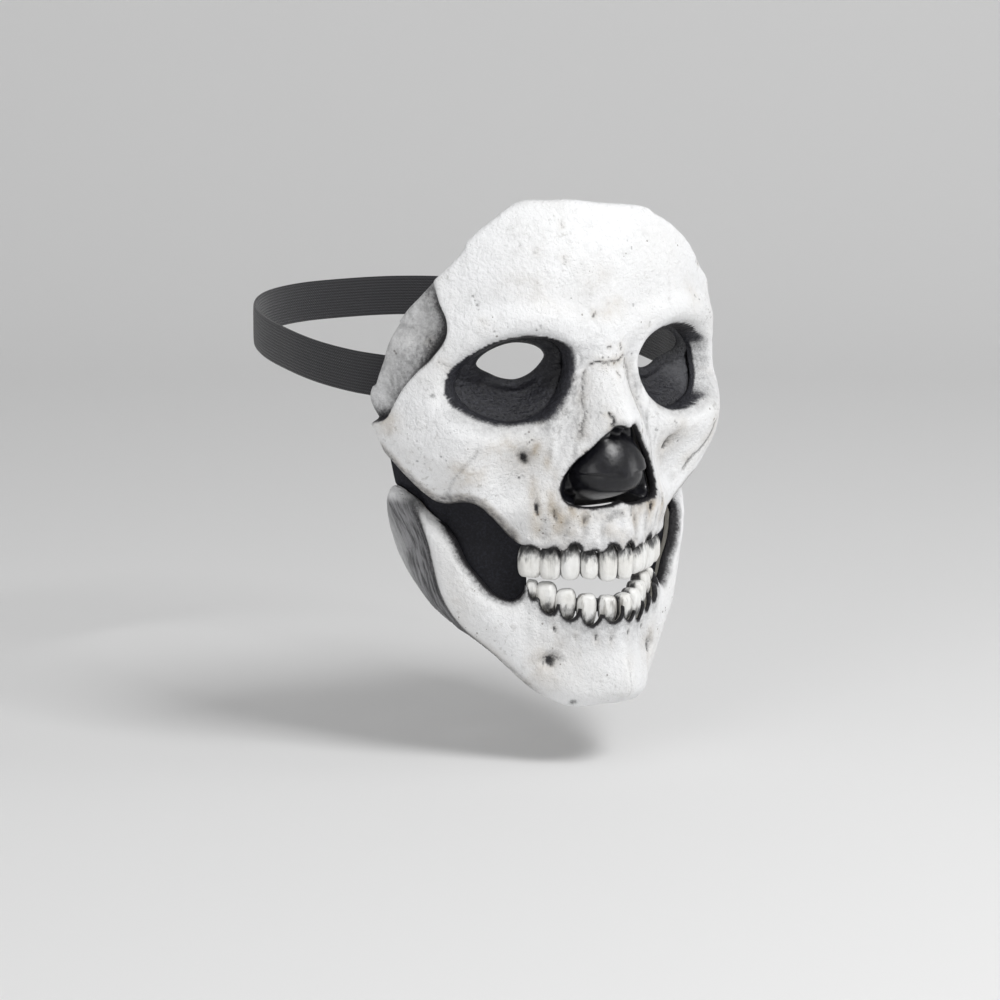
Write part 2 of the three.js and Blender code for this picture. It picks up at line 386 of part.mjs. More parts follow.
// elastic band from the inside of one temple round the back of the head to the other
function headStrap() {
  const P = [], F = [], half = STRAP_PATH.map(p => new THREE.Vector3(-p.x, p.y, p.z));
  const run = new THREE.CatmullRomCurve3([...half, ...half.slice(0, -1).reverse().map(p => new THREE.Vector3(-p.x, p.y, p.z))], false, 'centripetal');
  const line = run.getSpacedPoints(STRAP.steps).map(p => p.toArray());
  line.forEach((p, i) => {
    const a = line[Math.max(i - 1, 0)], b = line[Math.min(i + 1, line.length - 1)], l = Math.hypot(b[0] - a[0], b[1] - a[1]);
    const nx = -(b[1] - a[1]) / l, ny = (b[0] - a[0]) / l;
    for (const d of [-STRAP.thick / 2, STRAP.thick / 2]) for (const h of [-STRAP.width / 2, STRAP.width / 2]) P.push([p[0] + nx * d, p[1] + ny * d, p[2] + h]);
  });
  const ring = [0, 1, 3, 2], M = line.length - 1;
  for (let i = 0; i < M; i++) for (let k = 0; k < 4; k++) { const a = 4 * i + ring[k], b = 4 * i + ring[(k + 1) % 4]; F.push([a, b, b + 4], [a, b + 4, a + 4]); }
  F.push([0, 2, 3], [0, 3, 1], [4 * M, 4 * M + 1, 4 * M + 3], [4 * M, 4 * M + 3, 4 * M + 2]);
  let vol = 0;
  for (const [a, b, c] of F) vol += new THREE.Vector3(...P[a]).dot(new THREE.Vector3(...P[b]).cross(new THREE.Vector3(...P[c])));
  return solid(P, vol < 0 ? F.map(([a, b, c]) => [a, c, b]) : F);
}

const bone = { color: 0xe9e7e1, roughness: 0.62, metalness: 0 };
const tooth = { color: 0xdad8d0, roughness: 0.5, metalness: 0 };
const dark = { color: 0x17171d, roughness: 0.72, metalness: 0 };
const socket = { color: 0x24242b, roughness: 0.8, metalness: 0 };
const nose = { color: 0x131317, roughness: 0.5, metalness: 0 };
const elastic = { color: 0x101012, roughness: 0.85, metalness: 0 };

const eyeRight = clear(eyeSurround(-1), skullShell), eyeLeft = clear(eyeSurround(1), skullShell);
const scoop = clear(noseCover(), skullShell, eyeRight, eyeLeft);
const cheekRight = clear(cheek(-1), skullShell, jawShell, upperTeeth, lowerTeeth, eyeRight);
const cheekLeft = clear(cheek(1), skullShell, jawShell, upperTeeth, lowerTeeth, eyeLeft);
const strap = clear(headStrap(), skullShell, cheekRight, cheekLeft);

const mask = new THREE.Group();
mask.add(
  toMesh('skull_shell', skullShell, bone),
  toMesh('jaw_shell', jawShell, bone),
  toMesh('upper_teeth', upperTeeth, tooth),
  toMesh('lower_teeth', lowerTeeth, tooth),
  toMesh('eye_surround_right', eyeRight, socket),
  toMesh('eye_surround_left', eyeLeft, socket),
  toMesh('nose_cover', scoop, nose),
  toMesh('cheek_panel_right', cheekRight, dark),
  toMesh('cheek_panel_left', cheekLeft, dark),
  toMesh('head_strap', strap, elastic),
);
export default mask;
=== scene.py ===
import bpy, math
import numpy as np
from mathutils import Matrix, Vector


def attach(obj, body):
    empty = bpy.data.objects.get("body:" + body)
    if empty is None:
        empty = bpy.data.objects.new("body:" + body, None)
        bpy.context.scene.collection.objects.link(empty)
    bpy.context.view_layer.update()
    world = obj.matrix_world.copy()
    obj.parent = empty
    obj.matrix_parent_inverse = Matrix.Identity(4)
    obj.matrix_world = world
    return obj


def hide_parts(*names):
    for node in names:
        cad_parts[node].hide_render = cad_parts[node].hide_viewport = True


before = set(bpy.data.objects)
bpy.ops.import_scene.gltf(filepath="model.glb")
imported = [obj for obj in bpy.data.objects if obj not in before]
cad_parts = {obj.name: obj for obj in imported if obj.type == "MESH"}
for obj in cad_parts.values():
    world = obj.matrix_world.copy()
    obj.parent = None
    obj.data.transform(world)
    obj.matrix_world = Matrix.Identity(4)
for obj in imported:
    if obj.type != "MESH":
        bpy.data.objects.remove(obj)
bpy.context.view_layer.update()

# ------------------------------------------------------------------ form, in mm
# The same tables and functions as the construction, worked out on a much finer grid.
AXIS_Y = 57.0
U = 1.15                   # mm of surface for each degree round the axis
WALL = 2.5
SKIN = 1.5
RIM = 2.0
ORBIT_W, ORBIT_D, ORBIT_IN = 5.5, 5.5, 2.0
NOSE_W, NOSE_D = 2.2, 1.2
TOOTH_D = 3.4

# level, front of the midline, half width, superellipse power
FORM = np.array([
    [-135, -6, 60, 1.20], [-120, -10, 64, 1.20], [-100, -10, 66, 1.30], [-80, -10, 68, 1.50],
    [-60, -8, 70, 1.75], [-40, -3, 74, 1.95], [-20, 0, 76, 2.10], [0, 0, 76, 2.15],
    [20, -2, 75, 2.12], [40, -1, 70.5, 2.10], [60, 5, 65, 2.10], [75, 12, 60, 2.10]], float)
CROWN_EDGE = [
    (-76.3, -28), (-76.8, -23.5), (-80, -19.5), (-83, -12.5), (-81, -5), (-78.5, 1), (-73.5, 15), (-68.6, 23), (-60, 32.5),
    (-51.7, 42.9), (-50, 47.2), (-42.4, 54.5), (-33.5, 60.6), (-23, 61), (-12.5, 60.8), (0, 59.2), (19, 57), (24.5, 54),
    (32, 49.5), (42, 41), (50.5, 31.8), (60, 25.5), (69, 19), (74, 12), (79, 0), (81.5, -6), (83, -12.5), (80, -19.5), (76.8, -23.5), (76.3, -28)]
CHEEK_EDGE = [
    (75.5, -31), (73, -34.5), (68.7, -41.8), (63.9, -48.4), (59.3, -50.4), (51.9, -49.4), (47.2, -50.9), (42.9,
    -56), (38, -61.8), (33.6, -65)]
UPPER_GUM = [(30, -65.6), (15, -66.8), (0, -67.2)]
ORBIT = [
    (56.6, -6), (55, 0.5), (50.3, 5.5), (45.5, 9), (39.8, 12), (31.3, 13.7), (22.5, 12.5), (16.5, 8.2),
    (14.2, 0.5), (16.4, -8.5), (21.8, -15.8), (28.9, -20), (36.7, -21.2), (44.1, -19.4), (51, -15.6), (55.2, -11)]
NOSE_HOLE = [
    (0, -21.5), (2.6, -20.4), (5.6, -23.4), (9.8, -29), (14.5, -34), (18, -39.5), (19.3, -44.5), (17.6, -48.8),
    (12, -50.8), (6, -51.0), (2.4, -50.2), (0, -49.2)]
JAW_EDGE = [
    (0, -88), (15, -88), (26, -85.6), (30.5, -81), (31.1, -83), (33.6, -85.6), (37, -86.6), (43, -84.2), (48.5,
    -78.5), (53, -72.5), (57, -64), (60.5, -60), (64.5, -57), (67.8, -53.8), (71.3, -50.6), (74.4, -47.6), (77,
    -45), (80, -48.6), (81.8, -55), (82, -62.5), (79.9, -71.2), (75.4, -81), (68, -92.3), (56.6, -101), (42,
    -109.8), (28.2, -120.6), (17.8, -125.6), (11.5, -126.6), (0, -124.8)]
TEMPLE_LINE = [
    (59.8, 34), (57.5, 25), (55, 18.4), (55, 12), (59.4, 4.5), (64, -0.8), (68, -6.5), (70.8, -12.5), (73, -18),
    (77, -20.3), (84, -21.5)]
JAW_CREASE = [
    (70.6, -47.5), (69.4, -52.5), (67.6, -59), (65.6, -66.5), (64.4, -75), (63, -83.5), (60, -91), (54.4,
    -98.5), (45, -105), (38, -110.5)]
# deg, z, spread along, spread across, rise, turn
LUMPS = [
    (0, 11, 9, 7, 1.6, 0), (27, 42, 17, 13, 1.3, 0), (13, 27, 12, 7, -1, 0), (42, 28, 9, 7, -1, 0),
    (55, -27, 17, 11, 4.6, -12), (72, -25, 12, 7, 0.8, 0), (50, -40, 8, 9, 2, -35), (9.5, 2, 3.6, 9, -2, 10),
    (31, -38, 8.5, 8, -5.6, 25), (37, -50, 7, 9, -3.6, 0), (7.5, -58, 5, 6, -0.6, 0), (0, -50, 3.2, 3.4, 1.4, 0),
    (16.8, -56, 3.4, 9, 1.3, 0), (0, -100, 20, 6, -2.6, 0), (12, -98, 7, 5, -0.8, 0), (0, -116, 10, 7, 2.6, 0),
    (13, -120.5, 6, 4.5, 2, 0), (0, -124.5, 4, 3, -0.8, 0), (57, -50, 12, 11, -4.2, 0)]
# corners (deg, z, rise) and width of each ridge
RIDGES = [
    ([(9, 13, 1), (20, 19, 2.6), (33, 20, 3), (46, 16, 3), (56, 9, 2), (61, 2, 0.5)], 4.6),
    ([(17, -17, 0.6), (27, -24, 1.4), (38, -26, 1.8), (50, -22, 1.8), (58, -14, 1.2)], 4.0),
    ([(24, -112, 1), (36, -100, 2), (46, -90, 2.4), (52, -80, 2), (56, -66, 0.8)], 6.5)]
# level, rise, half width
BRIDGE = np.array([
    [-52, 1.5, 24], [-49, 3, 24.3], [-40, 7.5, 25], [-30, 11.2, 22], [-22, 13.8, 18.3], [-18, 14.2, 16.5],
    [-10, 8, 12.9], [0, 1.2, 9.5], [6, 0.3, 8.8], [12, 0, 8]], float)
ARCH = np.array([[0, 0.6], [9, 1.9], [15, 3.6], [22, 4.6], [30, 5.2], [38, 5], [48, 3.8], [60, 1.5], [75, 0]], float)
ARCH_SHARE = np.array([[-98, 0], [-86, 0.5], [-76, 1], [-62, 1], [-49, 0]], float)
TEMPLE_SUNK = np.array([[0, 1.5], [0.1, 3.5], [0.25, 5.5], [0.55, 5.5], [0.8, 7.5], [0.93, 6], [1, 3.5]], float)
# crowns: deg, width, root, edge, behind
UPPER = [(3.05, 7.4, -64.2, -79.0, 1.4), (8.9, 6.9, -66.4, -78.0, 2.5), (14.85, 7.6, -63.7, -78.3, 3.9),
         (21.55, 8.4, -65.4, -78.4, 5.1), (29.1, 9.2, -65.0, -77.8, 6.0)]
LOWER = [(2.95, 7.0, -94.4, -84.4, 1.6), (9.3, 7.5, -95.6, -83.8, 2.5), (15.9, 7.9, -93.6, -82.3, 4.0),
         (22.6, 8.1, -91.3, -79.9, 5.2), (28.0, 4.4, -86.0, -79.2, 6.0)]
EYE = dict(deg=35.5, z=2.2, hw=15.5, hh=7.6, tilt=4)
SOCKET_DEPTH = 7.5
STRAP_PATH = [(57.4, 28, -5), (60.9, 37, -5), (64.2, 48, -5), (69.4, 64, -4.4), (72.6, 84, -3), (72.8, 105, -1),
              (69, 130, 1), (60, 153, 3), (44, 172, 4.4), (23, 183.5, 5), (0, 187, 5)]


def smooth(x):
    x = np.clip(x, 0, 1)
    return x * x * (3 - 2 * x)


def level(z):
    z = np.clip(z, FORM[0, 0], FORM[-1, 0])
    i = np.clip(np.searchsorted(FORM[:, 0], z) - 1, 0, len(FORM) - 2)
    z0, z1 = FORM[i, 0], FORM[i + 1, 0]
    s = (z - z0) / (z1 - z0)
    im, ip = np.maximum(i - 1, 0), np.minimum(i + 2, len(FORM) - 1)
    out = []
    for k in (1, 2, 3):
        p0, p1 = FORM[i, k], FORM[i + 1, k]
        m0 = (FORM[i + 1, k] - FORM[im, k]) / (FORM[i + 1, 0] - FORM[im, 0]) * (z1 - z0)
        m1 = (FORM[ip, k] - FORM[i, k]) / (FORM[ip, 0] - FORM[i, 0]) * (z1 - z0)
        out.append((2 * s**3 - 3 * s * s + 1) * p0 + (s**3 - 2 * s * s + s) * m0 + (3 * s * s - 2 * s**3) * p1 + (s**3 - s * s) * m1)
    return out


def form_radius(u, z):
    yf, a, n = level(z)
    t = np.radians(u / U)
    s = np.abs(np.sin(t)) / a
    c = np.maximum(np.cos(t), 1e-6) / (AXIS_Y + 3 - yf)
    return (s**n + c**n) ** (-1 / n)


def place(u, z, r):
    t = np.radians(u / U)
    return np.stack([r * np.sin(t), AXIS_Y - r * np.cos(t), z + 0 * r], -1)


def curve(pts, closed, per=8):
    p = np.array([q[:2] for q in pts], float) * [U, 1]
    n = len(p)
    out = []
    if not closed:
        p = np.vstack([2 * p[0] - p[1], p, 2 * p[-1] - p[-2]])
    rng = range(n) if closed else range(1, n)
    for i in rng:
        a, b, c, d = (p[i - 1], p[i], p[(i + 1) % n], p[(i + 2) % n]) if closed else (p[i - 1], p[i], p[i + 1], p[i + 2])
        for k in range(per):
            t = k / per
            out.append(0.5 * (2 * b + (c - a) * t + (2 * a - 5 * b + 4 * c - d) * t * t + (3 * b - a - 3 * c + d) * t**3))
    if not closed:
        out.append(p[-2])
    else:
        out.append(out[0])
    return dict(p=np.array(out), closed=closed)


def measure(line, u, z):
    """distance, place along (0 to 1), side"""
    q, sh = line['p'], np.shape(u)
    X, Z = np.ravel(u), np.ravel(z)
    cum = np.concatenate([[0], np.cumsum(np.hypot(*(q[1:] - q[:-1]).T))])
    best = np.full(len(X), 1e18)
    frac = np.zeros(len(X))
    side = np.ones(len(X))
    ins = np.zeros(len(X), bool)
    for i in range(len(q) - 1):
        a, b = q[i], q[i + 1]
        ex, ez = b - a
        l2 = ex * ex + ez * ez
        if l2 < 1e-12:
            continue
        wx, wz = X - a[0], Z - a[1]
        t = np.clip((wx * ex + wz * ez) / l2, 0, 1)
        d = (wx - t * ex) ** 2 + (wz - t * ez) ** 2
        m = d < best
        best = np.where(m, d, best)
        frac = np.where(m, (cum[i] + t * (cum[i + 1] - cum[i])) / cum[-1], frac)
        side = np.where(m, np.sign(ex * wz - ez * wx), side)
        if line['closed']:
            c = (a[1] > Z) != (b[1] > Z)
            xx = (b[0] - a[0]) * (Z - a[1]) / (b[1] - a[1] + 1e-30) + a[0]
            ins ^= c & (X < xx)
    d = np.sqrt(best)
    if line['closed']:
        side = np.where(ins, 1.0, -1.0)
    return d.reshape(sh), frac.reshape(sh), side.reshape(sh)


def within(line, u, z):
    d, _, s = measure(line, u, z)
    return d * s


def mirrored(r):
    return [(-a, b) for a, b in reversed(r)]


def both(r):
    return list(r) + mirrored([q for q in r if abs(q[0]) > 1e-6])


SKULL_LINE = curve(CROWN_EDGE + CHEEK_EDGE + UPPER_GUM + mirrored(UPPER_GUM[:-1]) + mirrored(CHEEK_EDGE), True, 6)
ORBIT_LINE = curve(ORBIT, True)
NOSE_LINE = curve(both(NOSE_HOLE), True)
JAW_LINE = curve(both(JAW_EDGE), True, 6)
TEMPLE = curve(TEMPLE_LINE, False)
CREASE = curve(JAW_CREASE, False)


def lump(u, z, deg, z0, sa, sc, rise, turn=0.0):
    c, s = math.cos(math.radians(turn)), math.sin(math.radians(turn))
    du, dz = u - deg * U, z - z0
    return rise * np.exp(-0.5 * (((du * c + dz * s) / sa) ** 2 + ((-du * s + dz * c) / sc) ** 2))


def relief(u, z):
    u = np.abs(u)
    d = np.zeros(np.shape(u))
    for l in LUMPS:
        d += lump(u, z, *l)
    for pts, wide in RIDGES:
        m, f, _ = measure(curve(pts, False, 5), u, z)
        d += np.interp(f, np.linspace(0, 1, len(pts)), [p[2] for p in pts]) * np.exp(-0.5 * (m / wide) ** 2)
    q = np.clip(u / np.interp(z, BRIDGE[:, 0], BRIDGE[:, 2]), 0, 1)
    d += np.interp(z, BRIDGE[:, 0], BRIDGE[:, 1]) * (1 - q**1.5) ** 1.3
    for t in UPPER:
        d += lump(u, z, t[0], -60, t[1] * 0.3, 5.5, 1.1)
    for t in LOWER:
        d += lump(u, z, t[0], -97, t[1] * 0.3, 4.6, 0.8)
    d -= np.interp(u / U, ARCH[:, 0], ARCH[:, 1]) * smooth(np.interp(z, ARCH_SHARE[:, 0], ARCH_SHARE[:, 1]))
    dc, fc, sc = measure(CREASE, u, z)
    back = sc * dc
    fade = np.interp(fc, [0, .15, .75, 1], [.6, 1, 1, 0])
    d -= smooth((-44 - z) / 3) * fade * (3 * smooth((back + 1.5) / 5) + 1.6 * np.exp(-0.5 * ((back - 1.2) / 1.8) ** 2))
    dt, ft, st = measure(TEMPLE, u, z)
    behind = st * dt
    up = smooth((z + 24) / 3)
    d -= up * np.interp(ft, TEMPLE_SUNK[:, 0], TEMPLE_SUNK[:, 1]) * smooth((behind + 0.7) / 2.6) * (1 - 0.25 * smooth((behind - 2.5) / 13))
    d -= up * smooth((z - 6) / 14) * smooth((behind - 1) / 10) * 2.4
    return d


def quarter(phi, w, D):
    s = np.clip(phi / w, 0, 1)
    return D * (1 - np.sqrt(np.maximum(0, 1 - (1 - s) ** 2)))


def orbit_in(u, z):
    return within(ORBIT_LINE, np.abs(u), z) - ORBIT_IN


def skull_roll(u, z, inset=0.0):
    a = np.abs(u)
    low = smooth((-24 - z) / 5) * smooth((a - 32) / 6)
    return (quarter(-orbit_in(u, z) - inset, ORBIT_W, ORBIT_D) + quarter(-within(NOSE_LINE, u, z) - inset, NOSE_W, NOSE_D)
            + quarter(within(SKULL_LINE, u, z) - inset, 2 + 3 * low, 0.8 + 3.2 * low))


def jaw_roll(u, z, inset=0.0):
    a = np.abs(u)
    gum = (1 - smooth((a - 31) / 5)) * smooth((z + 100) / 8)
    rear = np.maximum(smooth((a - 66) / 6), smooth((-98 - z) / 8))
    return quarter(within(JAW_LINE, u, z) - inset, 4.5 + 1.5 * rear, (2.6 + 1.9 * rear) * (1 - gum) + 0.6 * gum)


def tooth_out(u, z, tab):
    """distance outside the crowns' outlines: arched at the root, squarer at the edge"""
    best = np.full(np.shape(u), 1e9)
    a = np.abs(u)
    for c, w, t, b, _ in tab:
        hw, hh, zm = w / 2, abs(t - b) / 2, (t + b) / 2
        X, Z = np.abs(a - c * U) / hw, np.abs(z - zm) / hh
        q = np.where((z - zm) * (t - b) > 0, np.sqrt(X**2 + Z**2), (X**3.2 + Z**3) ** (1 / 3.1))
        best = np.minimum(best, (q - 1) * min(hw, hh))
    return best


def phi_skull(u, z):
    p = np.minimum(within(SKULL_LINE, u, z), -orbit_in(u, z))
    p = np.minimum(p, -within(NOSE_LINE, u, z))
    return np.minimum(p, tooth_out(u, z, UPPER) + 0.12)


def phi_jaw(u, z):
    return np.minimum(within(JAW_LINE, u, z), tooth_out(u, z, LOWER) + 0.12)


# ------------------------------------------------------------------ noise
def lattice(P, cell, seed):
    """smooth value noise, -1 to 1"""
    r = np.random.default_rng(seed)
    G = r.uniform(-1, 1, (32, 32, 32))
    q = P / cell + 100.0
    i = np.floor(q).astype(int)
    f = q - i
    f = f * f * (3 - 2 * f)
    out = 0
    for dx in (0, 1):
        for dy in (0, 1):
            for dz in (0, 1):
                w = (f[..., 0] if dx else 1 - f[..., 0]) * (f[..., 1] if dy else 1 - f[..., 1]) * (f[..., 2] if dz else 1 - f[..., 2])
                out = out + w * G[(i[..., 0] + dx) % 32, (i[..., 1] + dy) % 32, (i[..., 2] + dz) % 32]
    return out


def fractal(P, cell, seed, octaves=3):
    v, a, tot = 0, 1.0, 0.0
    for k in range(octaves):
        v = v + a * lattice(P, cell / 2**k, seed + k)
        tot += a
        a *= 0.5
    return v / tot


# ------------------------------------------------------------------ grids
def trimmed(u0, u1, z0, z1, h, phi):
    nu, nz = int(np.ceil((u1 - u0) / h)), int(np.ceil((z1 - z0) / h))
    A, B = np.meshgrid(np.linspace(u0, u1, nu + 1), np.linspace(z0, z1, nz + 1), indexing='ij')
    V = np.stack([A.ravel(), B.ravel()], -1)
    f = phi(V[:, 0], V[:, 1])
    near = np.where(np.abs(f) < 0.45 * h)[0]
    W = V[near].copy()
    e = h * 0.05
    for _ in range(3):
        f0 = phi(W[:, 0], W[:, 1])
        gx = (phi(W[:, 0] + e, W[:, 1]) - phi(W[:, 0] - e, W[:, 1])) / (2 * e)
        gz = (phi(W[:, 0], W[:, 1] + e) - phi(W[:, 0], W[:, 1] - e)) / (2 * e)
        g2 = gx * gx + gz * gz + 1e-9
        W[:, 0] -= f0 * gx / g2
        W[:, 1] -= f0 * gz / g2
    mv = np.hypot(*(W - V[near]).T)
    ok = (mv < 0.45 * h) & (np.abs(phi(W[:, 0], W[:, 1])) < 0.04 * h)
    V[near[ok]] = W[ok]
    f[near[ok]] = 0
    idx = np.arange((nu + 1) * (nz + 1)).reshape(nu + 1, nz + 1)
    a, b, c, d = idx[:-1, :-1], idx[1:, :-1], idx[1:, 1:], idx[:-1, 1:]
    par = ((np.arange(nu)[:, None] + np.arange(nz)[None]) % 2).astype(bool)
    T = np.concatenate([np.stack([a, b, c], -1)[~par], np.stack([a, c, d], -1)[~par], np.stack([a, b, d], -1)[par], np.stack([b, c, d], -1)[par]])
    s = np.sign(f)[T]
    keep = (s >= 0).all(1) & (s > 0).any(1)
    z3 = (s == 0).all(1)
    if z3.any():
        cen = V[T[z3]].mean(1)
        keep[np.where(z3)[0][phi(cen[:, 0], cen[:, 1]) > 0]] = True
    mixed = np.where((s > 0).any(1) & (s < 0).any(1))[0]
    verts, cache, tris = list(map(tuple, V)), {}, list(map(tuple, T[keep]))

    def cut(i, j):
        k = (min(i, j), max(i, j))
        if k not in cache:
            t = f[i] / (f[i] - f[j])
            cache[k] = len(verts)
            verts.append(tuple(V[i] * (1 - t) + V[j] * t))
        return cache[k]
    for m in mixed:
        t = T[m]
        poly = []
        for k in range(3):
            i, j = t[k], t[(k + 1) % 3]
            if f[i] >= 0:
                poly.append(i)
            if f[i] * f[j] < 0:
                poly.append(cut(i, j))
        for k in range(1, len(poly) - 1):
            tris.append((poly[0], poly[k], poly[k + 1]))
    V, T = np.array(verts), np.array(tris)
    used = np.unique(T)
    m = np.full(len(V), -1)
    m[used] = np.arange(len(used))
    return V[used], m[T]


def shell(V, T, outer, inner, steps=3, bulge=0.4):
    """closed solid between two maps of a patch, with a rounded rim. Returns points, triangles, quads and where each point lies on the patch"""
    O, I, n = outer(V[:, 0], V[:, 1]), inner(V[:, 0], V[:, 1]), len(V)
    e = np.concatenate([T[:, [0, 1]], T[:, [1, 2]], T[:, [2, 0]]])
    key = np.minimum(e[:, 0], e[:, 1]) * n + np.maximum(e[:, 0], e[:, 1])
    _, inv, cnt = np.unique(key, return_inverse=True, return_counts=True)
    be = e[cnt[inv] == 1]
    bv = np.unique(be)
    pos = np.full(n, -1)
    pos[bv] = np.arange(len(bv))
    N, out = np.zeros((n, 3)), np.zeros((n, 3))
    fn = np.cross(O[T[:, 1]] - O[T[:, 0]], O[T[:, 2]] - O[T[:, 0]])
    for k in range(3):
        np.add.at(N, T[:, k], fn)
    N /= np.linalg.norm(N, axis=1, keepdims=True) + 1e-9
    o = np.cross(O[be[:, 1]] - O[be[:, 0]], N[be[:, 0]])
    np.add.at(out, be[:, 0], o)
    np.add.at(out, be[:, 1], o)
    out /= np.linalg.norm(out, axis=1, keepdims=True) + 1e-9
    P = [O, I]
    for k in range(1, steps):
        t = k / steps
        P.append(O[bv] * (1 - t) + I[bv] * t + out[bv] * bulge * math.sin(math.pi * t))
    rows = [np.arange(n)] + [2 * n + k * len(bv) + pos for k in range(steps - 1)] + [n + np.arange(n)]
    a, b = be[:, 0], be[:, 1]
    Q = [np.stack([rows[k][b], rows[k][a], rows[k + 1][a], rows[k + 1][b]], -1) for k in range(steps)]
    uv = np.concatenate([V, V] + [V[bv]] * (steps - 1))
    where = np.concatenate([np.zeros(n), np.ones(n)] + [np.full(len(bv), k / steps) for k in range(1, steps)])
    return np.concatenate(P), np.concatenate([T, T[:, ::-1] + n]), np.concatenate(Q), uv, where


def mesh_object(name, P, tris, quads=None, attrs=None, mat=None):
    P = np.asarray(P, float) / 1000
    tris = np.asarray(tris, int).reshape(-1, 3)
    quads = np.zeros((0, 4), int) if quads is None else np.asarray(quads, int).reshape(-1, 4)
    loops = np.concatenate([tris.ravel(), quads.ravel()])
    start = np.concatenate([np.arange(len(tris)) * 3, len(tris) * 3 + np.arange(len(quads)) * 4])
    me = bpy.data.meshes.new(name)
    me.vertices.add(len(P))
    me.vertices.foreach_set('co', P.ravel())
    me.loops.add(len(loops))
    me.loops.foreach_set('vertex_index', loops)
    me.polygons.add(len(start))
    me.polygons.foreach_set('loop_start', start)
    me.polygons.foreach_set('use_smooth', np.ones(len(start), bool))
    me.update(calc_edges=True)
    for k, v in (attrs or {}).items():
        at = me.attributes.new(k, 'FLOAT', 'POINT')
        at.data.foreach_set('value', np.ascontiguousarray(v, dtype=np.float32))
    ob = bpy.data.objects.new(name, me)
    bpy.context.scene.collection.objects.link(ob)
    # triangles turned the wrong way round would show dark
    v = P[tris]
    if np.einsum('ij,ij->i', v[:, 0], np.cross(v[:, 1], v[:, 2])).sum() < 0:
        me.flip_normals()
    if mat:
        me.materials.append(mat)
    return ob


# ------------------------------------------------------------------ surface detail of the bone
# cracks: corners (deg, z), depth, half width, darkness
CRACKS = [
    ([(-44.6, -26.5), (-46.6, -31.2), (-49.5, -34.6), (-52.2, -38.6), (-54.6, -42.2), (-57.4, -47.8)], .7, .62, .34),
    ([(54.5, -24.5), (51.5, -27.5), (50.2, -32.5), (46.6, -36.5), (43.4, -40.5), (41.5, -45.5)], .6, .6, .6),
    ([(-8.2, .4), (-6.4, 1.6), (-4.2, 2.2), (-2.2, 1.4), (0, 2.0), (2, 1.6), (4.6, 2.7), (7, 3.8)], .45, .34, .8),
    ([(-8.2, .4), (-9.6, -2.6), (-9.9, -6.4), (-10.8, -11), (-10.5, -15.8), (-12.0, -20.6), (-12.6, -27)], .45, .36, .6),
    ([(8.2, 1.5), (9.2, -3), (9.6, -9), (10.6, -15), (11.4, -21)], .35, .42, .5),
    ([(-4.8, -15.2), (-4.1, -18.4), (-4.6, -20.4), (-3.0, -22.8)], .5, .36, .95),
    ([(-62.3, 11.6), (-61.2, 9.8), (-60.0, 7.6)], .3, .3, .8),
    ([(-57.6, 4.2), (-55.2, 2.9), (-53.4, 1.4)], .22, .3, .45),
    ([(-44.6, 20.5), (-43.4, 18.2), (-41.8, 17.4)], .15, .25, .35),
    ([(0.5, -106), (1.1, -110), (.7, -114), (1.2, -118), (.8, -123)], .3, .45, .3),
    ([(-24, -101), (-20, -103.4), (-15, -104)], .2, .5, .15),
    ([(-66, -31), (-61, -33.5), (-55, -34.2)], .15, .5, .12),
    ([(30, 36), (34, 31), (36.5, 25), (41, 20)], .22, .7, .14),
    ([(24, 44), (26, 38), (25.5, 33), (30, 28)], .2, .7, .10),
]
# pits: deg, z, radius, depth, darkness
PITS = [
    (-58.7, -8.6, .8, .5, .8), (-58.0, -9.3, .5, .4, .8), (-60.4, -6.4, .5, .3, .5), (-47.4, 27.6, .6, .45, .7),
    (-46.6, 26.0, .5, .35, .7), (-45.9, 24.7, .6, .45, .7), (-45.3, 22.9, .45, .3, .5), (-36.7, 16.6, .5, .3, .5),
    (-34.9, 15.5, .45, .3, .5), (-40.6, 15.2, .5, .3, .6), (-3.8, 20.4, .6, .3, .35), (-1.8, 22.8, .9, .35, .3),
    (-8.9, 26.3, .5, .2, .25), (-.6, 27.9, .8, .3, .25), (7.3, 45.8, .45, .3, .6), (38.6, 22.2, .7, .4, .6),
    (40.8, 20.7, .5, .4, .8), (36, 24.4, .5, .3, .5), (3.3, 16.9, .6, .3, .4), (-20.8, -33.0, .5, .3, .5),
    (-18.2, -36.5, .45, .3, .5), (-15.5, -31.5, .5, .3, .4), (-25.6, -44.5, .45, .3, .5), (-47.5, -30.5, .6, .3, .4),
    (-62.2, -25.4, .5, .3, .6), (-60.4, -31.0, .6, .35, .5), (-24.5, 12.5, .45, .25, .5), (-9.8, 6.5, .5, .3, .5),
    (-12.6, 5.0, .4, .3, .5), (-29.6, -90.5, .5, .25, .4), (-35.4, -96.2, .5, .25, .3), (-8.5, -112.0, .5, .25, .3),
    (-47.0, -88.0, .5, .25, .3), (-14.3, -124.2, 1.5, .6, .7), (9.5, -28.0, .4, .3, .5), (16.5, -26.0, .5, .35, .6),
    (24.5, -24.0, .5, .3, .5), (12.2, -57.0, .5, .3, .5), (20.5, -58.0, .5, .3, .5)]
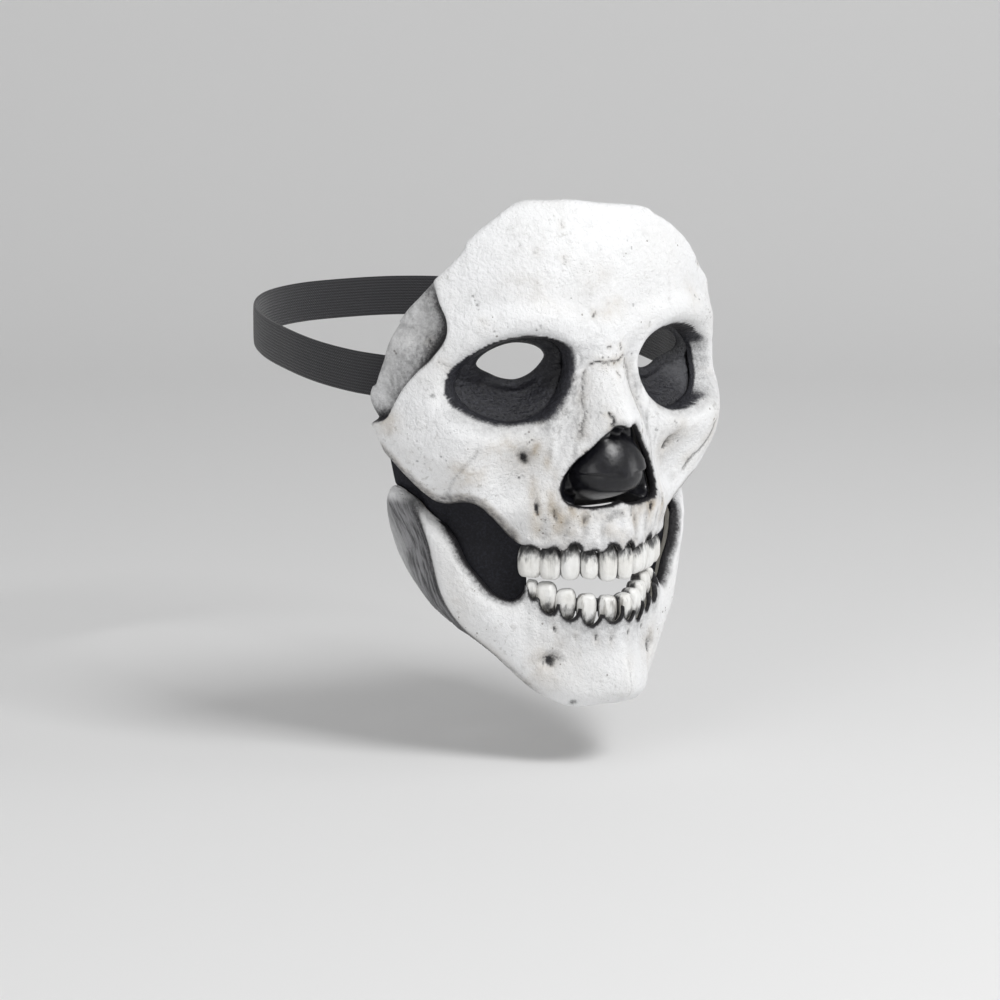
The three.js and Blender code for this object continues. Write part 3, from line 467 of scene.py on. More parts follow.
# openings that don't go through: deg, z, half width, half height, depth, turn, ochre
SINKS = [
    (-31.7, -32.1, 3.2, 3.9, 2.4, 25, .3), (31.7, -32.1, 3.2, 3.9, 2.4, -25, .3),
    (-22.0, -108.4, 4.6, 3.6, 2.2, 30, .35), (21.0, -107.6, 4.0, 3.4, 2.0, -30, .35),
    (-27.4, -50.6, 1.2, 4.6, .8, 4, .8), (-21.6, -52.8, 1.3, 3.8, .6, 10, .7), (-12.0, -55.6, .9, 2.0, .5, -8, .6),
    (14.0, -53.0, 1.0, 3.2, .8, 0, .7), (22.0, -52.0, 1.0, 2.6, .7, 0, .6), (6.0, -56.5, .8, 1.8, .4, 0, .5),
    (-16.6, -50.6, .8, 1.2, .4, 30, .5), (-20.7, -96.6, .75, 1.9, .8, 8, .3), (-7.6, -99.6, .6, 1.7, .7, 5, .2),
    (-3.1, -99.9, .6, 1.6, .7, -5, .2), (2.6, -98.4, .6, 1.6, .7, 0, .2), (13.4, -98.6, .6, 1.7, .7, 0, .2),
    (-13.8, -100.2, .6, 1.3, .4, 0, .2)]
# stains: deg, z, spread along, spread across, turn, strength of ochre
STAINS = [
    (-27.5, -30.1, 1.3, 2.6, 0, .75), (-46.6, -38.6, 4.0, 2.2, 30, .35), (-50.5, -36.0, 2.5, 2.0, 0, .3),
    (-38.5, -27.5, 4.5, 2.4, 20, .28), (-23.6, -34.0, 1.2, 2.8, 0, .45), (-20.5, -40.5, 1.0, 3.0, 0, .3),
    (0.5, 22.0, 3.5, 3.0, 0, .30), (-2.5, 19.5, 2.0, 1.6, 0, .35), (-6.0, 33.0, 5.0, 3.5, 0, .14),
    (9.0, -53.0, 6.0, 2.4, 0, .38), (-8.0, -53.2, 6.0, 2.2, 0, .3), (-17.5, -54.0, 3.0, 3.0, 0, .25),
    (37.0, 23.0, 3.0, 4.0, 0, .2), (-56.0, -86.0, 4.0, 8.0, 0, .10), (-72.5, -19.5, 4.0, 3.0, 0, .45),
    (-40.0, -68.0, 3.0, 4.0, 0, .1), (17.0, -44.0, 1.6, 6.0, 0, .25), (24.0, -58.0, 4.0, 4.0, 0, .2),
    (-24.0, 25.0, 6.0, 4.0, 0, .10), (-33.0, 32.0, 7.0, 4.0, 0, .10)]


def jagged(pts, seed, step=1.0, size=0.17):
    """a crack line with small side steps"""
    c = curve(pts, False, 6)
    p = c['p']
    r = np.random.default_rng(seed)
    L = np.concatenate([[0], np.cumsum(np.hypot(*(p[1:] - p[:-1]).T))])
    n = max(4, int(L[-1] / step))
    s = np.linspace(0, L[-1], n)
    x, z = np.interp(s, L, p[:, 0]), np.interp(s, L, p[:, 1])
    x[1:-1] += r.normal(0, size, n - 2)
    z[1:-1] += r.normal(0, size, n - 2)
    return dict(p=np.stack([x, z], -1), closed=False)


rng = np.random.default_rng(7)
for _ in range(34):                                       # short hairlines, most of them round the nose
    cd, cz = (rng.uniform(-34, 34), rng.uniform(-62, 8)) if rng.random() < .6 else (rng.uniform(-66, 60), rng.uniform(-40, 55))
    L, an = rng.uniform(1.5, 4.5), rng.uniform(0, math.pi)
    CRACKS.append(([(cd + t * L * math.cos(an) / U + rng.normal(0, .25), cz + t * L * math.sin(an) + rng.normal(0, .25)) for t in (-.5, -.15, .2, .5)], .22, .28, rng.uniform(.35, .8)))
for _ in range(150):                                      # specks of dirt in small pits
    cd, cz = (rng.normal(0, 17), rng.uniform(-63, 6)) if rng.random() < .55 else (rng.uniform(-72, 60), rng.uniform(-46, 56))
    PITS.append((cd, cz, rng.uniform(.35, .62), rng.uniform(.12, .35), rng.uniform(.35, .85)))
for _ in range(50):
    PITS.append((rng.uniform(-60, 50), rng.uniform(-122, -92), rng.uniform(.28, .45), rng.uniform(.08, .2), rng.uniform(.2, .5)))
JAG = [(jagged(c[0], 40 + i), *c[1:]) for i, c in enumerate(CRACKS)]


def bone_detail(u, z):
    """(height in mm, darkness, ochre) of cracks, pits, sinks and stains"""
    h, dark, och = (np.zeros(np.shape(u)) for _ in range(3))
    for line, depth, hw, dk in JAG:
        p = line['p']
        m = (u > p[:, 0].min() - 4) & (u < p[:, 0].max() + 4) & (z > p[:, 1].min() - 4) & (z < p[:, 1].max() + 4)
        if not m.any():
            continue
        d, f, _ = measure(line, u[m], z[m])
        k = np.clip(1.6 * np.minimum(f, 1 - f) / .12, 0.25, 1)
        h[m] -= depth * k * np.exp(-0.5 * (d / hw) ** 2)
        dark[m] = np.maximum(dark[m], dk * k * np.exp(-0.5 * (d / (hw * 1.1)) ** 2))
        dark[m] = np.maximum(dark[m], dk * .22 * k * np.exp(-0.5 * (d / (hw * 4)) ** 2))
        och[m] = np.maximum(och[m], .35 * dk * k * np.exp(-0.5 * (d / (hw * 5)) ** 2))
    for deg, z0, r, dep, dk in PITS:
        m = (np.abs(u - deg * U) < 5) & (np.abs(z - z0) < 5)
        g = np.exp(-0.5 * ((u[m] - deg * U) ** 2 + (z[m] - z0) ** 2) / (r * .7) ** 2)
        h[m] -= dep * g
        dark[m] = np.maximum(dark[m], dk * g)
    for deg, z0, hw, hh, dep, turn, oc in SINKS:
        m = (np.abs(u - deg * U) < 12) & (np.abs(z - z0) < 12)
        c, s = math.cos(math.radians(turn)), math.sin(math.radians(turn))
        du, dz = u[m] - deg * U, z[m] - z0
        q = np.sqrt(((du * c + dz * s) / hw) ** 2 + ((-du * s + dz * c) / hh) ** 2)
        w = 1 - smooth((q - .3) / .9)
        h[m] -= dep * w
        dark[m] = np.maximum(dark[m], .88 * (1 - smooth((q - .2 + .25 * lattice(np.stack([du, dz, 0 * du], -1), .9, 5)) / .8)) * min(1, dep / .8))
        # a wider painted shade round each sink, heavier on its upper side
        dark[m] = np.maximum(dark[m], .22 * np.exp(-0.5 * (q / 1.5) ** 2) * (1 + .5 * np.sign(dz)))
        och[m] = np.maximum(och[m], oc * np.exp(-0.5 * (q / 1.6) ** 2))
    for deg, z0, sa, sc, turn, k in STAINS:
        och += lump(u, z, deg, z0, sa, sc, k, turn)
    return h, np.clip(dark, 0, 1), np.clip(och, 0, 1)


def hollows(u, z):
    """how much the relief is sunk against what lies round it, at two sizes"""
    out = []
    r0 = relief(u, z)
    for e in (2.2, 5.0):
        s = sum(relief(u + e * math.cos(a), z + e * math.sin(a)) for a in np.arange(6) * math.pi / 3) / 6
        out.append(s - r0)
    return out


def bone_height(u, z, P):
    """low irregularities of hand-modelled bone, mm"""
    return 0.26 * fractal(P, 9.0, 11, 3) + 0.16 * fractal(P, 2.8, 21, 2)


def shell_maps(roll, steps_seed):
    def outer(u, z):
        r = form_radius(u, z) + relief(u, z) - roll(u, z)
        P = place(u, z, r)
        h, _, _ = bone_detail(u, z)
        return place(u, z, r + h + bone_height(u, z, P))

    def inner(u, z):
        r = form_radius(u, z) + relief(u, z) - roll(u, z, RIM) - WALL
        return place(u, z, r)
    return outer, inner


def bone_attributes(uv, where, kind):
    u, z = uv[:, 0], uv[:, 1]
    P = place(u, z, form_radius(u, z))
    _, dark, och = bone_detail(u, z)
    c1, c2 = hollows(u, z)
    n1, n2, n3 = fractal(P, 5, 31), fractal(P, 1.6, 35, 2), fractal(P, 14, 38)
    # painted shade in the hollows of the relief, together with the paint's grey wash
    wash_and_shade = np.clip(.5 * np.maximum(c1, 0) / .5 + .35 * np.maximum(c2, 0) / 1.3, 0, 1) ** 1.1 * .50
    black = dark.copy()
    a = np.abs(u)
    if kind == 'skull':
        o = -orbit_in(u, z) - ORBIT_IN                    # distance outside the painted outline of the socket
        right = u < 0
        wi = smooth((31 * U - a) / 9) * right * smooth((13 - z) / 6)
        wb = smooth((-10 - z) / 6) * (1 - wi) * np.where(right, 1, .5)
        wo = smooth((u - 45 * U) / 7) * smooth((9 - z) / 6)
        soft = .45 + 1.6 * wb + 3.4 * wi + 3.0 * wo
        black = np.maximum(black, 1 - smooth((o + .9 + 1.2 * wb + n2 * (.10 + .25 * wb + .9 * wi + .4 * wo)) / soft))
        wash_and_shade = np.maximum(wash_and_shade, (.30 + .35 * wi + .15 * wb) * (1 - smooth(o / (1.0 + 4.0 * wb + 10 * wi + 4 * wo))) * np.clip(.8 + .8 * n2 * wi + .3 * n1, 0, 1.3))
        # the outer wall of the left socket is dusted light
        wl = smooth((u - 46.5 * U + 2.5 * n1) / 6) * smooth((11 - z + 2 * n1) / 13) * smooth((z + 23 + 2 * n1) / 10) * (o > -8)
        wl *= np.clip(.70 + .30 * n1 + .15 * n2, 0, 1)
        black *= 1 - wl
        # round the socket the black is lifted to a mottled dark grey; towards the top it stays full black as painted
        # shade under the brow
        tone = (1 - smooth(o / 5)) * (1 - .9 * smooth((z - 5) / 5))
        # nose opening: thin dark lip
        nz = -within(NOSE_LINE, u, z)
        near_hole = np.minimum(o, nz)
        black = np.maximum(black, 1 - smooth((nz - .15 - .25 * n2) / .7))
        wash_and_shade = np.maximum(wash_and_shade, .45 * (1 - smooth(nz / 3.0)))
        # upright streaks of dirt over painted shade between the socket and the nose, grey under the nose
        fl_ = np.exp(-0.5 * (((a - 15.5 * U) - .22 * (-z - 18)) / 5.0) ** 2) * smooth((0 - z) / 8) * smooth((z + 56) / 8)
        sv = fractal(np.stack([P[:, 0] * 1.0, 0 * z, z * .22], -1), 1.6, 71, 3)
        wash_and_shade = np.maximum(wash_and_shade, fl_ * np.clip(.16 + .75 * sv, 0, .55))
        un = smooth((-50.5 - z) / 2) * smooth((z + 59) / 4) * (1 - smooth((a - 13) / 6))
        wash_and_shade = np.maximum(wash_and_shade, un * np.clip(.22 + .6 * n2, 0, .6))
        # behind the temple line: a black band of painted shadow under the line's edge, grey over the sunk temple, and
        # painted shade darkening it next to the line
        dt, ft, st = measure(TEMPLE, a, z)
        behind = st * dt
        up = smooth((z + 23) / 2)
        k = np.interp(ft, [0, .06, .15, .3, .45, .55, .68, .8, .88, 1], [.2, .6, .95, 1, .95, .7, .6, .9, 1, .9])
        wd = np.interp(ft, [0, .1, .3, .45, .6, .8, 1], [2.5, 5.5, 7.5, 6.5, 3.6, 7, 7])
        b = smooth((behind + .5) / 1.0) * (1 - smooth((behind - wd * (.12 + .10 * n1)) / wd))
        black = np.maximum(black, up * k * b * .94)
        wash_and_shade = np.maximum(wash_and_shade, up * smooth((behind + .3) / 1.5) * (.34 + .2 * n3 + .25 * n1) + up * .4 * smooth((behind + .3) / 1.5) * (1 - smooth((behind - 3) / 9)))
        # under the cheekbone: painted shade along its lower edge, with an ochre stain
        e = within(SKULL_LINE, u, z)
        low = smooth((-26 - z) / 4) * smooth((a - 36) / 5)
        wash_and_shade = np.maximum(wash_and_shade, low * (1 - smooth((e - 2.2 - .8 * n1) / 3.2)) * .8)
        black = np.maximum(black, low * (1 - smooth((e - .3 - .4 * n1) / 1.6)) * .75)
        och = np.maximum(och, low * (1 - smooth((e - 2.0) / 4)) * .5)
        t = tooth_out(u, z, UPPER)
        gum = 1 - smooth((t - .05 - .25 * n2) / .7)
        black = np.maximum(black, gum * .9)
        wash_and_shade = np.maximum(wash_and_shade, (1 - smooth((t - .2) / 3.0)) * .40 * (a < 42))
        rt = 0 * u
        for tt in UPPER:                                  # hollows between the roots
            rt = np.maximum(rt, np.exp(-0.5 * ((a - (tt[0] + 3.1) * U) / .9) ** 2))
        # painted shade in the hollows between the roots
        wash_and_shade = np.maximum(wash_and_shade, rt * smooth((-52 - z) / 4) * (a < 36) * np.clip(.34 + .3 * n2, 0, .6))
        och = np.maximum(och, .30 * smooth((-50 - z) / 4) * (1 - smooth((a - 26) / 10)) * np.clip(.5 + n1, 0, 1))
        # grey in the hollows of the upper jaw: painted shade
        gr = smooth((-47 - z) / 4) * (1 - smooth((a - 34) / 8))
        wash_and_shade = np.maximum(wash_and_shade, gr * np.clip(.05 + .30 * np.maximum(c1, 0) / .25, 0, .42))
    else:
        e = within(JAW_LINE, u, z)
        t = tooth_out(u, z, LOWER)
        black = np.maximum(black, (1 - smooth((t - .05 - .25 * n2) / .75)) * .9)
        wash_and_shade = np.maximum(wash_and_shade, (1 - smooth((t - .3) / 4.0)) * .5 * (a < 42))
        # a dark line in the groove of the crease: painted shade
        dc, fc, sc = measure(CREASE, a, z)
        back = sc * dc
        k = np.interp(fc, [0, .1, .7, 1], [.3, 1, .8, 0])
        line = np.exp(-0.5 * ((back - 1.0) / 1.3) ** 2) * k
        wash_and_shade = np.maximum(wash_and_shade, line * .95)
        black = np.maximum(black, line * .70)
        # fibres along the rear band, which is darkest next to the crease as painted shade
        rear = smooth((back - .4) / 1.8) * smooth((-47 - z) / 5) * smooth((z + 114) / 10) * (1 - .5 * smooth((back - 8) / 7))
        black = np.maximum(black, rear * .75 * (1 - smooth((back - 1.0) / 3.0)) * smooth((-56 - z) / 8))
        # front edge brushed into the dark cheek
        fr = smooth((a - 33) / 4) * smooth((64 * U - a) / 6) * smooth((-52 - z) / 3)
        fe = (1 - smooth((e - .4 - .7 * n1) / 2.2)) * fr * (back < 2)
        wash_and_shade = np.maximum(wash_and_shade, fe * .85)
        black = np.maximum(black, (1 - smooth((e + .2 - .5 * n1) / 1.3)) * fr * (back < 2) * .9)
        # darker along the jaw's lower edge: painted shade, with an ochre stain
        low = smooth((-84 - z) / 14) * smooth((a - 22) / 14)
        wash_and_shade = np.maximum(wash_and_shade, low * (1 - smooth((e - .6) / 3.2)) * .6)
        och = np.maximum(och, low * (1 - smooth((e - 1) / 5)) * .25)
        wash_and_shade = np.maximum(wash_and_shade, lump(a, z, 9, -99.5, 9, 4.5, .38) * np.clip(.8 + .5 * n1, 0, 1.2))
    inside = np.clip(where * 1.3, 0, 1)
    if kind == 'skull':
        rear, back, fc = 0 * u, 0 * u, 0 * u
    if kind == 'jaw':
        tone = 0 * u
        rim = (1 - smooth((e - 1.5) / 3)) * smooth((a - 30 * U) / 4) * smooth((66 * U - a) / 5) * (back < 1)
        inside *= 1 - rim
        black = np.where(where > .15, np.maximum(black, rim), black)
    if kind == 'skull':
        inside *= smooth((near_hole - 2.5) / 3)
        black = np.where(where > .2, np.maximum(black, 1 - smooth((near_hole - 2.5) / 3)), black)
    return dict(black=np.clip(black, 0, 1), tone=np.clip(tone, 0, 1), wash_and_shade=np.clip(wash_and_shade, 0, 1), rear=rear, back=back, along=fc * 75, ochre=np.clip(och, 0, 1), inside=inside)


# ------------------------------------------------------------------ materials
def nodes_of(name):
    m = bpy.data.materials.new(name)
    m.use_nodes = True
    nt = m.node_tree
    nt.nodes.clear()
    out = nt.nodes.new('ShaderNodeOutputMaterial')
    bs = nt.nodes.new('ShaderNodeBsdfPrincipled')
    nt.links.new(bs.outputs[0], out.inputs[0])
    return m, nt, bs


class Net:
    def __init__(self, nt):
        self.nt = nt
        self.co = nt.nodes.new('ShaderNodeTexCoord').outputs['Object']

    def attr(self, name):
        n = self.nt.nodes.new('ShaderNodeAttribute')
        n.attribute_name = name
        return n.outputs['Fac']

    def put(self, sock, v):
        if isinstance(v, (int, float)):
            sock.default_value = v
        elif isinstance(v, tuple):
            sock.default_value = v if len(v) == len(sock.default_value) else (*v, 1)
        else:
            self.nt.links.new(v, sock)

    def math(self, op, a, b=0.0, c=None, clamp=False):
        n = self.nt.nodes.new('ShaderNodeMath')
        n.operation = op
        n.use_clamp = clamp
        self.put(n.inputs[0], a)
        self.put(n.inputs[1], b)
        if c is not None:
            self.put(n.inputs[2], c)
        return n.outputs[0]

    def mix(self, f, a, b, mode='MIX'):
        n = self.nt.nodes.new('ShaderNodeMix')
        n.data_type = 'RGBA'
        n.blend_type = mode
        self.put(n.inputs[0], f)
        self.put(n.inputs[6], a)
        self.put(n.inputs[7], b)
        return n.outputs[2]

    def noise(self, scale, detail=3.0, rough=.55, vec=None, dist=0.0):
        n = self.nt.nodes.new('ShaderNodeTexNoise')
        self.put(n.inputs['Vector'], vec or self.co)
        n.inputs['Scale'].default_value = scale
        n.inputs['Detail'].default_value = detail
        n.inputs['Roughness'].default_value = rough
        n.inputs['Distortion'].default_value = dist
        return n.outputs['Fac']

    def voronoi(self, scale, feature='F1', vec=None):
        n = self.nt.nodes.new('ShaderNodeTexVoronoi')
        n.feature = feature
        self.put(n.inputs['Vector'], vec or self.co)
        n.inputs['Scale'].default_value = scale
        return n.outputs['Distance']

    def ramp(self, v, a, b):
        n = self.nt.nodes.new('ShaderNodeMapRange')
        n.interpolation_type = 'SMOOTHSTEP'
        self.put(n.inputs[0], v)
        n.inputs[1].default_value = a
        n.inputs[2].default_value = b
        return n.outputs[0]

    def mapping(self, scale, rot=(0, 0, 0)):
        n = self.nt.nodes.new('ShaderNodeMapping')
        self.put(n.inputs['Vector'], self.co)
        n.inputs['Scale'].default_value = scale
        n.inputs['Rotation'].default_value = rot
        return n.outputs[0]

    def bump(self, h, strength, dist, normal=None):
        n = self.nt.nodes.new('ShaderNodeBump')
        n.inputs['Strength'].default_value = strength
        n.inputs['Distance'].default_value = dist
        self.put(n.inputs['Height'], h)
        if normal is not None:
            self.put(n.inputs['Normal'], normal)
        return n.outputs[0]


def bone_material():
    m, nt, bs = nodes_of('bone_latex_paint')
    k = Net(nt)
    n_big, n_mid, n_fine = k.noise(28, 4), k.noise(140, 4, .6), k.noise(900, 3, .6)
    white = k.mix(k.ramp(n_big, .35, .7), (.88, .885, .895), (.82, .82, .82))
    white = k.mix(k.math('MULTIPLY', k.ramp(n_mid, .52, .72), .30), white, (.64, .64, .635))
    # fine mottling, stronger in some places
    mott = k.math('MULTIPLY', k.ramp(k.noise(420, 4, .65), .56, .68), k.ramp(k.noise(36, 3), .45, .66))
    white = k.mix(k.math('MULTIPLY', mott, .5), white, (.45, .44, .42))
    # small dark specks
    sp = k.math('LESS_THAN', k.voronoi(330), k.math('MULTIPLY', k.ramp(k.noise(60, 3), .52, .70), .18))
    white = k.mix(k.math('MULTIPLY', sp, .7), white, (.20, .18, .16))
    och = k.math('MULTIPLY', k.attr('ochre'), k.math('ADD', .55, k.ramp(n_mid, .35, .65)), clamp=True)
    c = k.mix(k.math('MULTIPLY', och, .62), white, (.36, .26, .13))
    # the paint's grey wash together with painted shade in hollows, creases, under edges and beside the temple line
    w0 = k.attr('wash_and_shade')
    w = k.math('MULTIPLY', w0, k.math('ADD', .62, k.math('MULTIPLY', k.ramp(k.noise(520, 4, .7), .35, .65), .6)), clamp=True)
    c = k.mix(w, c, (.17, .168, .172))
    cx = nt.nodes.new('ShaderNodeCombineXYZ')
    nt.links.new(k.attr('back'), cx.inputs[0])
    nt.links.new(k.math('MULTIPLY', k.attr('along'), .09), cx.inputs[1])
    fib = k.noise(1.15, 5, .65, vec=cx.outputs[0], dist=.3)
    grey = k.mix(k.ramp(fib, .34, .62), (.022, .022, .025), (.25, .25, .26))
    c = k.mix(k.math('MULTIPLY', k.attr('rear'), .93), c, grey)
    # black paint, together with painted shadow behind the temple line, under the cheekbone and along the jaw's crease
    b0 = k.attr('black')
    # the brushed edge breaks up into grain
    g = k.math('SUBTRACT', k.noise(1300, 3, .7), .5)
    g2 = k.math('MULTIPLY', g, k.math('MULTIPLY', k.math('MULTIPLY', b0, k.math('SUBTRACT', 1.0, b0)), 3.4))
    b = k.ramp(k.math('ADD', b0, g2), .06, .94)
    # near the top of the socket, where tone is low, the full black is painted shade under the brow
    c = k.mix(b, c, k.mix(k.attr('tone'), (.012, .011, .013), k.mix(k.ramp(k.noise(900, 4, .7), .4, .66), (.012, .012, .016), (.034, .035, .044))))
    inn = k.attr('inside')
    c = k.mix(k.ramp(inn, .75, 1.0), c, (.60, .575, .52))
    nt.links.new(c, bs.inputs['Base Color'])
    rough = k.math('ADD', .44, k.math('MULTIPLY', n_mid, .2))
    nt.links.new(rough, bs.inputs['Roughness'])
    bs.inputs['Specular IOR Level'].default_value = .38
    h = k.math('ADD', k.math('ADD', k.math('ADD', k.math('MULTIPLY', n_mid, .7), k.math('MULTIPLY', k.math('MULTIPLY', fib, k.attr('rear')), .9)), k.math('MULTIPLY', k.noise(430, 4, .6, dist=.6), .8)), k.math('MULTIPLY', n_fine, .55))
    pits = k.ramp(k.voronoi(620), .0, .35)
    h = k.math('ADD', h, k.math('MULTIPLY', pits, k.math('MULTIPLY', k.ramp(k.noise(45, 3), .48, .7), .35)))
    nt.links.new(k.bump(h, .9, .00095), bs.inputs['Normal'])
    return m


def tooth_material():
    m, nt, bs = nodes_of('tooth_latex_paint')
    k = Net(nt)
    st = k.noise(260, 3, .6, vec=k.mapping((1, 1, .16)))
    base = k.mix(k.ramp(k.noise(120, 3), .35, .7), (.86, .86, .845), (.76, .75, .72))
    base = k.mix(k.math('MULTIPLY', k.ramp(st, .5, .68), k.attr('dirt')), base, (.24, .228, .21))
    blk = k.attr('black')
    g = k.math('MULTIPLY', k.math('SUBTRACT', k.noise(1100, 3, .7, vec=k.mapping((1, 1, .35))), .5), k.math('MULTIPLY', k.math('MULTIPLY', blk, k.math('SUBTRACT', 1.0, blk)), 4.0))
    b = k.ramp(k.math('ADD', blk, g), .05, .95)
    c = k.mix(k.math('MULTIPLY', b, .96), base, (.022, .022, .025))
    nt.links.new(c, bs.inputs['Base Color'])
    bs.inputs['Roughness'].default_value = .30
    bs.inputs['Specular IOR Level'].default_value = .5
    nt.links.new(k.bump(k.math('ADD', k.math('MULTIPLY', st, .8), k.math('MULTIPLY', k.noise(800, 3), .6)), .75, .0006), bs.inputs['Normal'])
    return m


def dark_material(name, base, other, rough, grain, bump, spec=.4, wrinkle=0.0, shaded=False):
    m, nt, bs = nodes_of(name)
    k = Net(nt)
    n = k.noise(grain, 5, .7)
    big = k.noise(grain * .09, 3)
    c = k.mix(k.ramp(n, .42, .68), base, other)
    c = k.mix(k.math('MULTIPLY', k.ramp(big, .4, .7), .5), c, base)
    if shaded:
        # painted shade in the socket, mixed to near black
        c = k.mix(k.attr('deep_shade'), c, (.006, .006, .008))
        c = k.mix(k.math('MULTIPLY', k.attr('pale'), k.math('ADD', .4, n)), c, (.26, .265, .28))
    nt.links.new(c, bs.inputs['Base Color'])
    nt.links.new(k.math('ADD', rough, k.math('MULTIPLY', n, .12)), bs.inputs['Roughness'])
    bs.inputs['Specular IOR Level'].default_value = spec
    h = k.math('ADD', n, k.math('MULTIPLY', k.ramp(k.voronoi(grain * .8), 0, .5), .5))
    if wrinkle:
        h = k.math('ADD', h, k.math('MULTIPLY', k.noise(grain * .25, 4, .6, vec=k.mapping((1, 1, 2.6))), wrinkle))
    nt.links.new(k.bump(h, .6, bump), bs.inputs['Normal'])
    return m


def elastic_material():
    m, nt, bs = nodes_of('woven_elastic')
    k = Net(nt)
    rib, run = k.attr('rib'), k.attr('run')
    w = k.math('SINE', k.math('MULTIPLY', rib, 2 * math.pi * 14))
    v = k.math('SINE', k.math('MULTIPLY', run, 2 * math.pi / 1.1))
    h = k.math('ADD', k.math('MULTIPLY', w, .5), k.math('MULTIPLY', k.math('MULTIPLY', w, v), .4))
    c = k.mix(k.ramp(h, -.6, .8), (.008, .008, .010), (.035, .035, .040))
    nt.links.new(c, bs.inputs['Base Color'])
    bs.inputs['Roughness'].default_value = .8
    bs.inputs['Sheen Weight'].default_value = .25
    nt.links.new(k.bump(k.math('ADD', h, k.noise(1500, 2)), .6, .0003), bs.inputs['Normal'])
    return m


BONE, TOOTH = bone_material(), tooth_material()
SOCKET = dark_material('socket_latex_paint', (.010, .010, .014), (.036, .037, .047), .42, 850, .0009, .5, 1.6, True)
NOSE = dark_material('nose_latex_paint', (.004, .004, .006), (.010, .010, .014), .26, 420, .00012, .5)
CHEEK = dark_material('cheek_latex_paint', (.006, .006, .009), (.019, .020, .028), .62, 1100, .00035, .3)
ELASTIC = elastic_material()


def finish_piece(ob, node):
    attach(ob, 'root')
    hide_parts(node)
    return ob


# ------------------------------------------------------------------ shells
CELL = 0.78
for node, phi, roll, kind, win, seed in (
        ('skull_shell', phi_skull, skull_roll, 'skull', (-99, 99, -71, 65), 1),
        ('jaw_shell', phi_jaw, jaw_roll, 'jaw', (-99, 99, -130, -40), 2)):
    V, T = trimmed(*win, CELL, phi)
    outer, inner = shell_maps(roll, seed)
    P, F, Q, uv, where = shell(V, T, outer, inner, 4, .45)
    ob = mesh_object(node + '_skin', P, F, Q, bone_attributes(uv, where, kind), BONE)
    finish_piece(ob, node)


# ------------------------------------------------------------------ teeth
def crown(t, side, lower, seed, lon=44, lat=34):
    deg, wide, root, edge, behind = t
    u, zm, hh, hw, hd = side * deg * U, (root + edge) / 2, abs(root - edge) / 2, wide / 2 + .04, TOOTH_D
    f = lambda x: float(form_radius(np.array([x]), np.array([zm]))[0])
    o = place(np.array(u), np.array(zm), np.array(f(u) - behind - hd))
    a, b = place(np.array(u + 1), zm, np.array(f(u + 1))), place(np.array(u - 1), zm, np.array(f(u - 1)))
    ang = math.atan2(a[1] - b[1], a[0] - b[0])
    la = np.linspace(-math.pi / 2, math.pi / 2, lat + 1)[1:-1]
    lo = np.linspace(0, 2 * math.pi, lon, endpoint=False)
    LA, LO = np.meshgrid(la, lo, indexing='ij')
    sp = lambda x, p: np.sign(x) * np.abs(x) ** p
    at_root = (LA > 0) != lower
    girth = np.cos(LA) ** np.where(at_root, .85, .44)
    S, Nn = girth * sp(np.cos(LO), .66), girth * sp(np.sin(LO), .85)
    H = np.where(at_root, np.sin(LA), sp(np.sin(LA), .58))
    side = np.abs(sp(np.cos(LO), .62))
    toroot = H if not lower else -H                        # +1 at the root
    taper = 1 - .04 * smooth((-toroot - .4) / .6)
    r = np.random.default_rng(seed)
    skew = r.uniform(-.10, .10)
    S = S * taper
    front = np.clip(-Nn, 0, 1)
    # two shallow upright furrows and an uneven cutting edge
    fur = .20 * front * (np.cos(S * 6.2 + r.uniform(-1, 1)) - .4) * smooth((1 - np.abs(H)) * 2)
    cutz = (r.uniform(.15, .45) * np.sin(S * r.uniform(2, 4) + r.uniform(0, 6))) * smooth((-toroot - .55) / .4)
    X = S * hw + skew * H * 1.2
    Y = Nn * hd + fur - .35 * front * smooth((-toroot) / 1.0) * 0
    tuck = smooth((toroot - .1) / .9)                     # the root runs on behind the gum
    Z = H * hh + cutz * .45 + tuck * (-1.9 if lower else .5)
    Y = Y + tuck * .9
    c, s = math.cos(ang), math.sin(ang)
    P = np.stack([o[0] + X * c - Y * s, o[1] + X * s + Y * c, zm + Z], -1).reshape(-1, 3)
    poles = np.stack([o[0] + 0 * np.zeros(2), o[1] + np.zeros(2), np.array([Z[0].mean() - .02, Z[-1].mean() + .02]) + zm], -1) + np.array([-s, c, 0]) * (np.array([.9, 0]) if lower else np.array([0, .9]))[:, None]
    P = np.vstack([P, poles])
    n = len(P)
    P += (.17 * fractal(P, 1.5, 70 + seed, 2))[:, None] * np.array([s, -c, 0])
    L = lat - 1
    idx = np.arange(L * lon).reshape(L, lon)
    nx = np.roll(idx, -1, 1)
    Q = np.stack([idx[:-1], nx[:-1], nx[1:], idx[1:]], -1).reshape(-1, 4)
    T = np.concatenate([np.stack([nx[0], idx[0], np.full(lon, n - 2)], -1), np.stack([idx[-1], nx[-1], np.full(lon, n - 1)], -1)])
    tr = np.concatenate([toroot.ravel(), [1, -1] if lower else [-1, 1]])
    sd = np.concatenate([side.ravel(), [0, 0]])
    nn = np.concatenate([Nn.ravel(), [0, 0]])
    nf = fractal(P * [1, 1, .35], 1.1, 90 + seed, 2)
    if lower:
        blk = .92 * smooth((tr + .25 + .40 * nf) / 1.15)
        dirt = .95 + .5 * nf
    else:
        blk = .93 * smooth((tr + .22 + .45 * nf) / 1.0)
        dirt = .45 + .4 * nf + .4 * smooth(tr)
    blk = np.maximum(blk, .80 * smooth((sd - .90) / .10) * smooth((tr + 1.3) / .6))
    blk = np.maximum(blk, .9 * smooth((nn + .02) / .5))
    return P, T, Q, np.clip(blk, 0, 1), np.clip(dirt, 0, 1)


